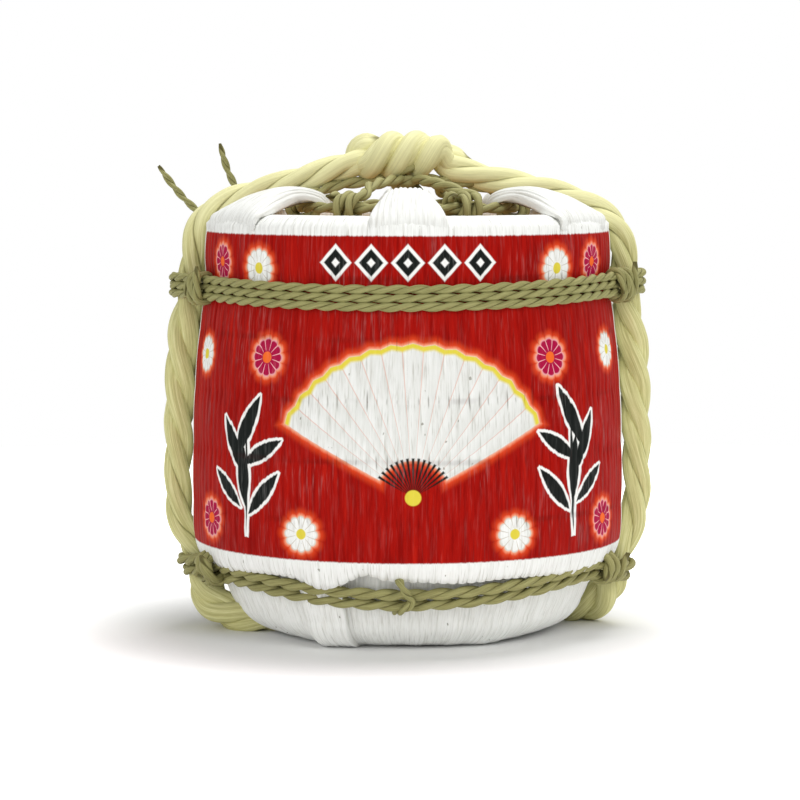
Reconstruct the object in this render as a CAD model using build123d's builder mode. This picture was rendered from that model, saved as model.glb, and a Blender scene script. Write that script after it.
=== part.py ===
from build123d import *
import math
import os

os.makedirs("parts", exist_ok=True)

# A straw-wrapped cedar sake cask. Millimetres, +Z up, -Y is the printed front.
# The origin is the centre of the foot, on the floor.

# Straw mat round the sides
mat_thickness = 4.0
skirt_radius = 86.5
belly_radius = 92.0
flank_radius = 90.0
waist_radius = 86.0
rim_radius = 86.0
lip_width = 6.5
hem_height = 36.0
belly_rise = 12.0
flank_rise = 52.0
waist_rise = 46.0
rim_rise = 25.0
shoulder_radius = 7.5
mat_seam_width = 1.5
mat_seam_depth = 1.5

# Six flaps folded under the foot
flap_count = 6
foot_flat_radius = 50.0
foot_wall = 7.0
knee_radius = 75.0
knee_height = 14.0
foot_centre_radius = 14.0
flap_seam = 0.6

# Six flaps folded over the mouth
narrow_flap_width = 28.0
broad_flap_width = 34.0
flap_landing = 6.0
flap_crest_radius = 58.0
flap_crest_rise = 8.0
flap_tip_radius = 42.0
flap_tip_rise = 3.0
flap_tip_share = 0.65
flap_tip_corner = 7.0

# Cedar cask
stave_count = 14
stave_thickness = 9.0
cask_taper = 4.0
croze_depth = 2.5
croze_play = 0.1
head_thickness = 9.0
top_recess = 12.0
bottom_recess = 12.0
middle_plank_width = 44.0
peg_diameter = 4.0
peg_length = 16.0
peg_spread = 60.0
hoop_thickness = 4.4
hoop_width = 9.0
foot_hoop_rise = 12.0
lower_hoop_rise = 36.0
upper_hoop_drop = 54.0
mouth_hoop_drop = 24.0

# Bung in the top head
bung_diameter = 16.0
bung_fit = 0.1
bung_head_diameter = 19.0
bung_head_height = 5.0
bung_tail = 3.0
bung_margin = 2.44
bung_direction = 118.5

# Carry rope and its knot
rope_diameter = 12.0
rope_floor_flat = 0.5
rope_bow = 2.0
rope_bite = 1.5
rope_rim_gap = 3.0
rope_crest_rise = 15.0
rope_end_drop = 5.0
rope_straight = 9.0
rope_foot_reach = 64.0
rope_foot_skew = 15.0
rope_foot_lift = 2.5
knot_strand_diameter = 10.2
knot_rise = 25.0
knot_half_length = 40.0
knot_lay = 27.5
knot_lead_run = 8.0

# Belly and base twines, their lashings, and the lacing of the flaps
belly_twine_diameter = 3.5
belly_turns = 3
belly_knot_direction = 131.0
base_twine_diameter = 4.6
base_turns = 2
base_rope_height = 26.0
waist_lashing_turns = 3
base_lashing_turns = 2
lashing_end = 5.0
twine_arc_step = 15.0
lacing_ring_radius = 48.0
base_lacing_radius = 46.0
lacing_arc_share = 0.3
stitch_depth = 3.0
stitch_angle = 2.0
knot_bump_radius = 10.0
belly_start_run = 1.0
belly_end_run = 7.0
base_start_run = 14.0
base_end_run = 30.0
belly_knot_turns = 2
gather_turns = 2
tie_turns = 3

# Clearances
clearance = 0.3
turn_gap = 0.5
joint_gap = 0.05

# Shares of a run, or of a winding's radius, that the arcs of a route take up
corner_share = 0.45
winding_share = 0.9

# Heights and slopes worked out from the sizes above
belly_height = hem_height + belly_rise
flank_height = belly_height + flank_rise
waist_height = flank_height + waist_rise
rim_height = waist_height + rim_rise
top_height = rim_height + shoulder_radius
side_profile = [
    (skirt_radius, hem_height),
    (belly_radius, belly_height),
    (flank_radius, flank_height),
    (waist_radius, waist_height),
    (rim_radius, rim_height),
]
lip_radius = rim_radius - shoulder_radius - lip_width
base_slope = (skirt_radius - knee_radius) / (hem_height - knee_height)
flap_wall = mat_thickness * math.hypot(1, base_slope)
flap_pitch = 360 / flap_count
front_direction = -90
left_direction = 180
right_direction = 0

cask_top = top_height - mat_thickness - clearance
narrowest_radius = min(radius for radius, height in side_profile)
hooped_mouth_radius = narrowest_radius - mat_thickness - clearance
cask_mouth_radius = hooped_mouth_radius - hoop_thickness - joint_gap
cask_foot_radius = cask_mouth_radius - cask_taper
foot_seat_profile = [
    (foot_flat_radius - foot_wall, 0.0),
    (knee_radius - flap_wall, knee_height),
    (skirt_radius - flap_wall, hem_height),
]


def foot_seat_height(radius):
    """Height at which the foot flaps' inner wall has this radius."""
    (r0, z0), (r1, z1), (r2, z2) = foot_seat_profile
    if radius < r1:
        return z0 + (z1 - z0) * (radius - r0) / (r1 - r0)
    return z1 + (z2 - z1) * (radius - r1) / (r2 - r1)


cask_bottom = foot_seat_height(cask_foot_radius + clearance)
top_head_top = cask_top - top_recess
bottom_head_top = cask_bottom + bottom_recess + head_thickness

rope_radius = rope_diameter / 2
rope_floor_height = rope_radius - rope_floor_flat
rope_standoff = rope_radius + clearance
base_stretch = math.hypot(1, base_slope)
knot_height = top_height + knot_rise


def side_radius(height):
    """Outer radius of the side mat at a height."""
    for (r0, z0), (r1, z1) in zip(side_profile, side_profile[1:]):
        if height <= z1:
            return r0 + (r1 - r0) * (height - z0) / (z1 - z0)
    return rim_radius


def base_radius(height):
    """Outer radius of the foot flaps, above their knee."""
    return skirt_radius - base_slope * (hem_height - height)


def cask_radius(height):
    """Outer radius of the staves at a height."""
    return cask_foot_radius + cask_taper * (height - cask_bottom) / (cask_top - cask_bottom)


def bore_radius(height):
    """Inner radius of the staves at a height."""
    return cask_radius(height) - stave_thickness


def polar(radius, degrees, height=0.0):
    """A point at a radius and a direction about the cask's axis."""
    angle = math.radians(degrees)
    return Vector(radius * math.cos(angle), radius * math.sin(angle), height)


def radial_plane(degrees):
    """A vertical plane through the axis, with x outwards and y up."""
    return Plane(origin=(0, 0, 0), x_dir=polar(1, degrees), z_dir=polar(1, degrees - 90))


def corner_radii(points, share=corner_share):
    """The largest arc that each corner of a route has room for."""
    radii = []
    for a, b, c in zip(points, points[1:], points[2:]):
        turn = math.radians((b - a).get_angle(c - b))
        shorter = min((b - a).length, (c - b).length)
        radii.append(share * shorter / math.tan(turn / 2))
    return radii


def tube(points, diameter, radii=None):
    """A round tube along straight runs joined by tangent arcs."""
    with BuildPart() as swept:
        with BuildLine() as route:
            FilletPolyline(*points, radius=radii or corner_radii(points))
        start = Plane(origin=route.line @ 0, z_dir=route.line % 0)
        with BuildSketch(start):
            Circle(diameter / 2)
        sweep(path=route.wire())
    return swept, route.wire()


def least_gap(path, diameter, samples=500):
    """The least gap between a tube's turns, measured on points of its path."""
    points = [path.position_at(i / samples) for i in range(samples + 1)]
    apart = math.ceil(2.5 * diameter * samples / path.length)
    nearest = min(
        (points[i] - points[j]).length
        for i in range(samples + 1)
        for j in range(i + apart, samples + 1)
    )
    return nearest - diameter


def report_tube(name, swept, path, diameter):
    """Prints a tube's volume beside its section times its length, and its gap to itself."""
    solid = swept.part.volume
    expected = math.pi * diameter**2 / 4 * path.length
    gap = least_gap(path, diameter)
    print(f"{name}: volume {solid:.0f}, section x length {expected:.0f}, gap to itself {gap:.2f}")


def save(builder, name):
    """Labels a finished piece and writes it."""
    builder.part.label = name
    export_step(builder.part, f"parts/{name}.step")


# Cedar staves with a croze for each head
stave_angle = 360 / stave_count
grooves = [
    (bottom_head_top - head_thickness - croze_play, bottom_head_top + croze_play),
    (top_head_top - head_thickness - croze_play, top_head_top + croze_play),
]
for index in range(stave_count):
    with BuildPart() as stave:
        with BuildSketch(radial_plane(index * stave_angle)):
            with BuildLine():
                bore_points = [(bore_radius(cask_bottom), cask_bottom)]
                for low, high in grooves:
                    bore_points.append((bore_radius(low), low))
                    bore_points.append((bore_radius(low) + croze_depth, low))
                    bore_points.append((bore_radius(low) + croze_depth, high))
                    bore_points.append((bore_radius(high), high))
                bore_points.append((bore_radius(cask_top), cask_top))
                Polyline(
                    *bore_points,
                    (cask_mouth_radius, cask_top),
                    (cask_foot_radius, cask_bottom),
                    close=True,
                )
            make_face()
        revolve(axis=Axis.Z, revolution_arc=stave_angle)
    save(stave, f"stave_{index + 1:02d}")

# Heads of three planks each, dowelled edge to edge with bamboo pegs
bung_offset = bore_radius(top_head_top) - bung_head_diameter / 2 - bung_margin
bung_centre = polar(bung_offset, bung_direction)
plank_joint = middle_plank_width / 2
peg_points = [(x, y) for x in (-peg_spread / 2, peg_spread / 2) for y in (-plank_joint, plank_joint)]
for head, head_top in (("bottom", bottom_head_top), ("top", top_head_top)):
    head_bottom = head_top - head_thickness
    head_radius = bore_radius(head_bottom) + croze_depth - clearance
    peg_height = head_top - head_thickness / 2
    spans = {
        "front": (-head_radius, -plank_joint),
        "middle": (-plank_joint, plank_joint),
        "back": (plank_joint, head_radius),
    }
    for plank, (near, far) in spans.items():
        with BuildPart() as board:
            with BuildSketch(Plane.XY.offset(head_bottom)):
                Circle(head_radius)
                with Locations((0, (near + far) / 2)):
                    Rectangle(2 * head_radius, far - near, mode=Mode.INTERSECT)
                if head == "top":
                    with Locations(bung_centre):
                        Circle(bung_diameter / 2 + bung_fit, mode=Mode.SUBTRACT)
            extrude(amount=head_thickness)
            for x, y in peg_points:
                with Locations(Location((x, y, peg_height), (90, 0, 0))):
                    Cylinder(peg_diameter / 2 + joint_gap, peg_length + 2 * joint_gap, mode=Mode.SUBTRACT)
        save(board, f"{head}_head_{plank}")
    with BuildPart() as pegs:
        for x, y in peg_points:
            with Locations(Location((x, y, peg_height), (90, 0, 0))):
                Cylinder(peg_diameter / 2, peg_length)
    save(pegs, f"{head}_head_pegs")

# Bung that lifts out of the top head
with BuildPart() as bung:
    with BuildSketch(Plane.XY.offset(top_head_top - head_thickness - bung_tail)):
        with Locations(bung_centre):
            Circle(bung_diameter / 2)
    extrude(amount=head_thickness + bung_tail)
    with BuildSketch(Plane.XY.offset(top_head_top)):
        with Locations(bung_centre):
            Circle(bung_head_diameter / 2)
    extrude(amount=bung_head_height)
    chamfer(bung.edges().group_by(Axis.Z)[-1], bung_head_height / 5)
    chamfer(bung.edges().group_by(Axis.Z)[0], bung_tail / 3)
save(bung, "bung")

# Split-bamboo hoops
hoop_lows = {
    "foot_hoop": cask_bottom + foot_hoop_rise,
    "lower_hoop": cask_bottom + lower_hoop_rise,
    "upper_hoop": cask_top - upper_hoop_drop,
    "mouth_hoop": cask_top - mouth_hoop_drop,
}
for name, low in hoop_lows.items():
    high = low + hoop_width
    with BuildPart() as hoop:
        with BuildSketch(Plane.XZ):
            with BuildLine():
                Polyline(
                    (cask_radius(low) + joint_gap, low),
                    (cask_radius(low) + hoop_thickness, low),
                    (cask_radius(high) + hoop_thickness, high),
                    (cask_radius(high) + joint_gap, high),
                    close=True,
                )
            hoop_face = make_face()
            fillet(hoop_face.vertices().group_by(Axis.X)[-1], hoop_thickness / 3)
        revolve(axis=Axis.Z)
    save(hoop, name)

# Carry rope: down each side from the knot, under the foot and up again
def rope_at_base(side, height):
    """The carry rope's centre where it lies on the foot flaps."""
    return Vector(side * (base_radius(height) + rope_standoff * base_stretch), 0, height)


def rope_side(side):
    """One side's route, from its end at the knot to where it turns under the foot."""
    skew = side * rope_foot_skew
    above = waist_height + rope_straight
    below = waist_height - rope_straight
    lower_flank = (flank_height + belly_height) / 2
    return [
        Vector(side * knot_half_length, 0, knot_height - rope_end_drop),
        Vector(side * flap_crest_radius, 0, top_height + rope_crest_rise),
        Vector(side * (rim_radius - shoulder_radius), 0, top_height + rope_radius + rope_rim_gap),
        Vector(side * (rim_radius + rope_radius - rope_bite), 0, rim_height + rope_radius),
        Vector(side * (waist_radius + rope_standoff), 0, above),
        Vector(side * (side_radius(below) + rope_standoff), 0, below),
        Vector(side * (flank_radius + rope_standoff + rope_bow), 0, flank_height),
        Vector(side * (side_radius(lower_flank) + rope_standoff + rope_bow), 0, lower_flank),
        Vector(side * (belly_radius + rope_standoff + rope_bow / 2), 0, belly_height),
        rope_at_base(side, base_rope_height + rope_straight),
        rope_at_base(side, base_rope_height - rope_straight),
        Vector(side * (rope_foot_reach + rope_radius * 2), skew * 2 / 3, rope_floor_height + rope_foot_lift),
        Vector(side * rope_foot_reach, skew, rope_floor_height),
    ]


rope_route = rope_side(-1) + rope_side(1)[::-1]
rope_radii = corner_radii(rope_route)
carry_rope, rope_path = tube(rope_route, rope_diameter, rope_radii)
print("carry rope radii", [round(r) for r in rope_radii])
print(f"carry rope volume {carry_rope.part.volume:.0f}", end=" ")
print(f"section x length {math.pi * rope_radius**2 * rope_path.length:.0f}")
with carry_rope:
    split(bisect_by=Plane.XY, keep=Keep.TOP)
save(carry_rope, "carry_rope")
rope_channel, _ = tube(rope_route, rope_diameter + 2 * clearance, rope_radii)

# Knot on top: the rope's two ends twisted round each other
strand_turn = knot_strand_diameter + turn_gap
twist_radius = strand_turn / 2
twist_step = 60
twist_corner = twist_radius / math.cos(math.radians(twist_step / 2))


def twist_point(band, degrees):
    """A point of the twist, from the place where that band passes the front."""
    angle = math.radians(degrees)
    return Vector(
        knot_lay * (band + degrees / 360),
        -twist_corner * math.cos(angle),
        knot_height + twist_corner * math.sin(angle),
    )


def knot_lead(side):
    """The run that carries straight on from the carry rope's end."""
    end, before = rope_side(side)[:2]
    return [end, end + (end - before).normalized() * knot_lead_run]


left_route = knot_lead(-1)
left_route.append(Vector(-22, 8, knot_height + 3.2))
left_route += [twist_point(0, degrees) for degrees in range(-180, 181, twist_step)]
left_route.append(Vector(19.8, 11.2, knot_height - 4.3))
left_route.append(Vector(28, 16, knot_height - 6.4))
right_route = knot_lead(1)
right_route += [twist_point(0.5, degrees) for degrees in range(120, -421, -twist_step)]
for name, route in (("carry_knot_left_end", left_route), ("carry_knot_right_end", right_route)):
    knot_end, knot_path = tube(route, knot_strand_diameter)
    report_tube(name, knot_end, knot_path, knot_strand_diameter)
    save(knot_end, name)

# Stitch that holds the base twine to the front flap
def base_track(height, twine):
    """Radius at which a twine lies on the foot flaps."""
    return base_radius(height) + (clearance + twine / 2) * base_stretch


base_pitch = base_twine_diameter + turn_gap
stitch_standoff = base_twine_diameter / 2 + 2 * turn_gap + belly_twine_diameter / 2
front_share = (front_direction - left_direction) % 360 / 360
low_turn = base_rope_height + base_pitch * (front_share - base_turns / 2)
high_turn = low_turn + base_pitch * (base_turns - 1)
stitch_low = low_turn - stitch_standoff
stitch_high = high_turn + stitch_standoff
stitch_profile = [
    (base_radius(stitch_high) - stitch_depth, stitch_high),
    (base_track(stitch_high, base_twine_diameter) + stitch_standoff * base_stretch, stitch_high),
    (base_track(stitch_low, base_twine_diameter) + stitch_standoff * base_stretch, stitch_low),
    (base_radius(stitch_low) - stitch_depth, stitch_low),
]
stitch_route = [polar(radius, front_direction - stitch_angle, height) for radius, height in stitch_profile]
front_stitch, _ = tube(stitch_route, belly_twine_diameter)
save(front_stitch, "front_stitch")
stitch_channel, _ = tube(stitch_route, belly_twine_diameter + 2 * clearance)

# Printed mat round the sides, its two ends meeting at the back
with BuildPart() as side_mat:
    with BuildSketch(Plane.XZ):
        with BuildLine():
            inner_profile = [(r - mat_thickness, z) for r, z in side_profile]
            shoulder_start = rim_radius - shoulder_radius
            shoulder_inner = shoulder_radius - mat_thickness
            Polyline(*side_profile)
            RadiusArc((rim_radius, rim_height), (shoulder_start, top_height), -shoulder_radius)
            Polyline(
                (shoulder_start, top_height),
                (lip_radius, top_height),
                (lip_radius, top_height - mat_thickness),
                (shoulder_start, top_height - mat_thickness),
            )
            RadiusArc(
                (shoulder_start, top_height - mat_thickness),
                (rim_radius - mat_thickness, rim_height),
                shoulder_inner,
            )
            Polyline(*reversed(inner_profile))
            Line(inner_profile[0], side_profile[0])
        make_face()
    revolve(axis=Axis.Z)
    with BuildSketch(radial_plane(-front_direction)):
        with BuildLine():
            groove_floor = [(r - mat_seam_depth, z) for r, z in side_profile]
            groove_mouth = [(r + mat_seam_depth, z) for r, z in side_profile]
            Polyline(*groove_floor, *reversed(groove_mouth), close=True)
        make_face()
    extrude(amount=mat_seam_width / 2, both=True, mode=Mode.SUBTRACT)
    add(rope_channel.part, mode=Mode.SUBTRACT)
save(side_mat, "side_mat")

# Flaps of the mat folded under the foot
flap_half_angle = flap_pitch / 2 - math.degrees(flap_seam / 2 / foot_flat_radius)


def arc_section(outer, inner):
    """A slice of a flap's wall between two arcs."""
    with BuildSketch() as section:
        with BuildLine():
            CenterArc((0, 0), outer, -flap_half_angle, 2 * flap_half_angle)
            Line(polar(outer, flap_half_angle), polar(inner, flap_half_angle))
            CenterArc((0, 0), inner, -flap_half_angle, 2 * flap_half_angle)
            Line(polar(inner, -flap_half_angle), polar(outer, -flap_half_angle))
        make_face()
    return section.sketch


def straight_section(outer, inner):
    """A slice of a flap between two straight sides of the foot."""
    reach = math.tan(math.radians(flap_half_angle))
    with BuildSketch() as section:
        with BuildLine():
            Polyline(
                (outer, -outer * reach),
                (outer, outer * reach),
                (inner, inner * reach),
                (inner, -inner * reach),
                close=True,
            )
        make_face()
    return section.sketch


for index in range(flap_count):
    facing = Plane.XY.rotated((0, 0, front_direction + index * flap_pitch))
    with BuildPart() as base_flap:
        with BuildSketch(facing.offset(knee_height)):
            add(arc_section(knee_radius, knee_radius - flap_wall))
        with BuildSketch(facing.offset(hem_height)):
            add(arc_section(skirt_radius, skirt_radius - flap_wall))
        loft(ruled=True)
        with BuildSketch(facing):
            add(straight_section(foot_flat_radius, foot_flat_radius - foot_wall))
        with BuildSketch(facing.offset(knee_height)):
            add(arc_section(knee_radius, knee_radius - flap_wall))
        loft(ruled=True)
        with BuildSketch(facing):
            add(straight_section(foot_flat_radius, foot_centre_radius))
        extrude(amount=mat_thickness)
        add(rope_channel.part, mode=Mode.SUBTRACT)
        if index == 0:
            add(stitch_channel.part, mode=Mode.SUBTRACT)
    save(base_flap, f"base_flap_{index + 1}")

# Flaps of the mat folded over the mouth, each arched over the lacing
flap_root = (lip_radius + flap_landing, top_height)
flap_arc_points = [
    (lip_radius, top_height),
    (flap_crest_radius, top_height + flap_crest_rise),
    (flap_tip_radius, top_height + flap_tip_rise),
]
for index in range(flap_count):
    direction = front_direction + index * flap_pitch
    root_width = narrow_flap_width if index % 3 == 0 else broad_flap_width
    with BuildPart() as top_flap:
        with BuildSketch(radial_plane(direction)):
            with BuildLine():
                lifted = [(r, z + mat_thickness) for r, z in flap_arc_points]
                Line(flap_root, flap_arc_points[0])
                ThreePointArc(*flap_arc_points)
                Line(flap_arc_points[-1], lifted[-1])
                ThreePointArc(*lifted)
                Line(lifted[0], (flap_root[0], flap_root[1] + mat_thickness))
                Line((flap_root[0], flap_root[1] + mat_thickness), flap_root)
            make_face()
        extrude(amount=root_width, both=True)
        with BuildSketch(Plane.XY.rotated((0, 0, direction))):
            with BuildLine():
                Polyline(
                    (flap_tip_radius, -root_width * flap_tip_share / 2),
                    (flap_root[0], -root_width / 2),
                    (flap_root[0], root_width / 2),
                    (flap_tip_radius, root_width * flap_tip_share / 2),
                    close=True,
                )
            flap_face = make_face()
            fillet(flap_face.vertices().group_by(Axis.X)[0], flap_tip_corner)
        extrude(amount=knot_height, mode=Mode.INTERSECT)
    save(top_flap, f"top_flap_{index + 1}")

# Twines wound round the mat and over the carry rope on each side
def mat_track(height, twine):
    """Radius at which a twine lies on the side mat."""
    return side_radius(height) + clearance + twine / 2


def bundle_half_height(twine, strands):
    """Half the height of a coil that goes round a bundle of strands."""
    return (twine + turn_gap) * (strands + 1) / 2


belly_pitch = belly_twine_diameter + turn_gap
belly_half_height = bundle_half_height(belly_twine_diameter, belly_turns + 1)
belly_knot_radius = mat_track(waist_height - belly_half_height, belly_twine_diameter) + belly_pitch


def waist_posts(height):
    """What the belly twine goes round: the carry rope on each side, and its own knot."""
    reach = waist_radius + rope_standoff
    wrap = rope_standoff + belly_twine_diameter / 2 + turn_gap
    return {
        left_direction: (reach, wrap),
        right_direction: (reach, wrap),
        belly_knot_direction: (belly_knot_radius - knot_bump_radius, knot_bump_radius),
    }


def base_posts(height):
    """What the base twine goes round: the carry rope on each side."""
    reach = rope_at_base(1, height).X
    wrap = rope_standoff * base_stretch + base_twine_diameter / 2 + turn_gap
    return {left_direction: (reach, wrap), right_direction: (reach, wrap)}


def half_angle(reach, wrap, track):
    """Half the angle that a straining twine turns through at a post."""
    return math.degrees(math.acos((track - wrap) / reach))


def winding(posts_at, track_at, twine, turns, middle, first_post, start_run, end_run):
    """Corners and arc radii of a twine wound from a post round to it again, climbing steadily."""
    pitch = twine + turn_gap

    def height_at(angle):
        return middle + pitch * ((angle - first_post) / 360 - turns / 2)

    posts = list(posts_at(middle))
    posts.sort(key=lambda direction: (direction - first_post) % 360)
    stops = [(direction, turn) for turn in range(turns) for direction in posts] + [(first_post, turns)]
    corners, radii = [], []
    for (direction, turn), following in zip(stops, stops[1:] + [None]):
        stop = first_post + 360 * turn + (direction - first_post) % 360
        height = height_at(stop)
        track = track_at(height, twine)
        reach, wrap = posts_at(height)[direction]
        half = half_angle(reach, wrap, track)
        corners.append(polar(reach + wrap / math.cos(math.radians(half)), stop, height))
        radii.append(wrap)
        begin = stop + half
        if following is None:
            break
        next_reach, next_wrap = posts_at(height)[following[0]]
        next_stop = stop + (following[0] - direction) % 360
        span = next_stop - half_angle(next_reach, next_wrap, track) - begin
        steps = math.ceil(span / twine_arc_step) if span > twine_arc_step / 4 else 0
        for index in range(steps):
            here = begin + span * (index + 0.5) / steps
            bulge = math.cos(math.radians(span / steps / 2))
            corners.append(polar(track_at(height_at(here), twine) / bulge, here, height_at(here)))
            radii.append(winding_share * track)
    corners[0] += (corners[1] - corners[0]).normalized() * start_run
    corners.append(corners[-1] + polar(end_run, begin + 90))
    room = corner_radii(corners)
    return corners, [min(wanted, free) for wanted, free in zip(radii[1:], room)]


belly_winding = (
    waist_posts, mat_track, belly_twine_diameter, belly_turns, waist_height, belly_knot_direction
)
base_winding = (base_posts, base_track, base_twine_diameter, base_turns, base_rope_height, left_direction)
for name, wound, start_run, end_run in (
    ("belly_rope", belly_winding, belly_start_run, belly_end_run),
    ("base_rope", base_winding, base_start_run, base_end_run),
):
    twine = wound[2]
    route, radii = winding(*wound, start_run, end_run)
    twine_rope, twine_path = tube(route, twine, radii)
    report_tube(name, twine_rope, twine_path, twine)
    save(twine_rope, name)


# Lashings that draw the turns together beside the carry rope
def coil_route(centre, along, outward, up, half_width, half_height, turns, pitch, end):
    """A flat coil round a bundle: up its front, over, down its back and under."""
    signs = [(1, 1), (-1, 1), (-1, -1), (1, -1)]

    def corner(leg, out, rise):
        shift = pitch * ((leg + 0.5) / 4 - turns / 2)
        return centre + outward * half_width * out + up * half_height * rise + along * shift

    drop = end / half_height
    route = [corner(-1 - drop / 2, 1, -1 - drop)]
    route += [corner(leg, *signs[leg % 4]) for leg in range(4 * turns)]
    route.append(corner(4 * turns - 0.5, 1, 0))
    return route


lashings = {
    "waist_lashing_left": (belly_winding, left_direction, belly_turns, waist_lashing_turns, 0),
    "waist_lashing_right": (belly_winding, right_direction, belly_turns, waist_lashing_turns, 0),
    "base_lashing_left": (base_winding, left_direction, base_turns + 1, base_lashing_turns, base_slope),
    "base_lashing_right": (base_winding, right_direction, base_turns, base_lashing_turns, base_slope),
}
for name, (wound, direction, strands, coil_turns, slope) in lashings.items():
    posts_at, track_at, twine, turns, middle, first_post = wound
    pitch = twine + turn_gap
    towards_front = 1 if direction == left_direction else -1
    half = half_angle(*posts_at(middle)[direction], track_at(middle, twine))
    turn_share = (direction + towards_front * half - first_post) % 360 / 360
    height = middle + pitch * (turn_share + (strands - 1 - turns) / 2)
    reach, wrap = posts_at(height)[direction]
    half = half_angle(reach, wrap, track_at(height, twine))
    facing = direction + towards_front * half
    outward = polar(1, facing)
    along = polar(1, facing + 90)
    half_width = twine + clearance
    beside_rope = math.sqrt(wrap**2 - (wrap - half_width) ** 2)
    # The outermost inner legs of a coil lie three eighths of a turn inside its ends.
    coil_reach = (coil_turns / 2 - 3 / 8) * pitch
    leave = polar(reach, direction, height) + outward * wrap
    route = coil_route(
        leave + along * towards_front * (beside_rope + coil_reach),
        along,
        (outward - Vector(0, 0, slope)).normalized(),
        (outward * slope + Vector(0, 0, 1)).normalized(),
        half_width,
        bundle_half_height(twine, strands) * math.hypot(1, slope),
        coil_turns,
        pitch,
        lashing_end,
    )
    lashing, lashing_path = tube(route, twine)
    report_tube(name, lashing, lashing_path, twine)
    save(lashing, name)

# Knot of the belly twine at the back, and its two free ends
knot_route = coil_route(
    polar(belly_knot_radius, belly_knot_direction, waist_height),
    polar(1, belly_knot_direction + 90),
    polar(1, belly_knot_direction),
    Vector(0, 0, 1),
    belly_pitch,
    belly_half_height,
    belly_knot_turns,
    belly_pitch,
    lashing_end,
)
belly_knot, belly_knot_path = tube(knot_route, belly_twine_diameter)
report_tube("belly_knot", belly_knot, belly_knot_path, belly_twine_diameter)
save(belly_knot, "belly_knot")
tail_start = waist_height + belly_half_height + belly_twine_diameter + clearance
twine_tails = {
    "twine_tail_long": [
        polar(belly_knot_radius, belly_knot_direction + 1.5, tail_start),
        Vector(-72, 74, 164),
        Vector(-86, 73, 170),
        Vector(-98, 70, 180),
        Vector(-106, 67, 189),
        Vector(-112, 65, 198),
    ],
    "twine_tail_short": [
        polar(belly_knot_radius, belly_knot_direction - 2.5, tail_start),
        Vector(-63, 77, 167),
        Vector(-71, 73, 178),
        Vector(-78, 66, 189),
        Vector(-82, 62, 199),
        Vector(-84, 60, 208),
    ],
}
for name, route in twine_tails.items():
    tail, tail_path = tube(route, belly_twine_diameter)
    print(name, "length", round(tail_path.length, 1), "radii", [round(r) for r in corner_radii(route)])
    save(tail, name)

# Lacing drawn through the folds of the top flaps, with ties to a knot in the middle
lacing_pitch = base_twine_diameter + turn_gap
lacing_height = top_height + flap_tip_rise - clearance - base_twine_diameter / 2
lacing_window_radius = lacing_ring_radius * math.cos(math.radians(flap_pitch / 2))
lacing_start = -front_direction - flap_pitch / 2


def lacing_loop(radius, height, start):
    """A drawn loop with a corner at each flap, open by a hair at its start."""
    window = radius * math.cos(math.radians(flap_pitch / 2))
    open_angle = math.degrees(turn_gap / window)
    corners = [polar(radius, start + flap_pitch * (index + 0.5), height) for index in range(flap_count)]
    return [
        polar(window, start + open_angle, height),
        *corners,
        polar(window, start - open_angle, height),
    ]


for name, radius, height in (
    ("top_lacing", lacing_ring_radius, lacing_height),
    ("base_lacing", base_lacing_radius, rope_floor_height + rope_standoff + base_twine_diameter / 2),
):
    route = lacing_loop(radius, height, lacing_start)
    lacing, _ = tube(route, base_twine_diameter, corner_radii(route, lacing_arc_share))
    save(lacing, name)

tie_height = lacing_height + lacing_pitch
gather_corner = lacing_pitch / math.cos(math.radians(twist_step / 2))
gather_bottom = tie_height - gather_turns * lacing_pitch / 2
gather_route = [
    polar(gather_corner, degrees, gather_bottom + lacing_pitch * degrees / 360)
    for degrees in range(0, 360 * gather_turns + 1, twist_step)
]
gather, gather_path = tube(gather_route, base_twine_diameter)
report_tube("lacing_knot", gather, gather_path, base_twine_diameter)
save(gather, "lacing_knot")

tie_end_radius = gather_corner + base_twine_diameter / 2 + clearance
tie_tubes = []
for index in range(flap_count):
    direction = lacing_start + flap_pitch * index
    if abs(direction - bung_direction) < flap_pitch / 2:
        continue
    hitch = coil_route(
        polar(lacing_window_radius, direction, lacing_height),
        polar(1, direction + 90),
        polar(1, direction),
        Vector(0, 0, 1),
        lacing_pitch,
        lacing_pitch,
        tie_turns,
        lacing_pitch + turn_gap,
        0,
    )
    route = hitch[1:-3] + [polar(tie_end_radius, direction, tie_height)]
    tie, tie_path = tube(route, base_twine_diameter)
    report_tube(f"lacing_ties, {direction:.0f} degrees", tie, tie_path, base_twine_diameter)
    tie_tubes.append(tie)
with BuildPart() as ties:
    for tie in tie_tubes:
        add(tie.part)
save(ties, "lacing_ties")
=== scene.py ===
import math
import bpy
import bmesh
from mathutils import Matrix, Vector


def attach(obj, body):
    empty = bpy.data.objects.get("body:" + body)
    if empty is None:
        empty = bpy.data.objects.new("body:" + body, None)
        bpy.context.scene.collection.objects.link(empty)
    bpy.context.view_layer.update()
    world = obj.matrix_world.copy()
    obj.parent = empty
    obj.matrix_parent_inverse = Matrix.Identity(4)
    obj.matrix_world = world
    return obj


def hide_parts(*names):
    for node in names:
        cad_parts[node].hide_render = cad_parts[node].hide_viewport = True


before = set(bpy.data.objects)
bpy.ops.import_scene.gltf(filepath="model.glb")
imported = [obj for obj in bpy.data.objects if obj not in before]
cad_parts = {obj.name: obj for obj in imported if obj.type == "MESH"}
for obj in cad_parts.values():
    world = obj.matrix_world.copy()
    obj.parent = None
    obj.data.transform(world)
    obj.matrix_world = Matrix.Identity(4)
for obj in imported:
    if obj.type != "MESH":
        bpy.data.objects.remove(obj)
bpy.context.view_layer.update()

# Straw-wrapped sake cask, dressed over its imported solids. Metres, +Z up, -Y is the printed front.
upward = Vector((0, 0, 1))
frontward = -90  # degrees
mmPerMetre = 1000.0


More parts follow.
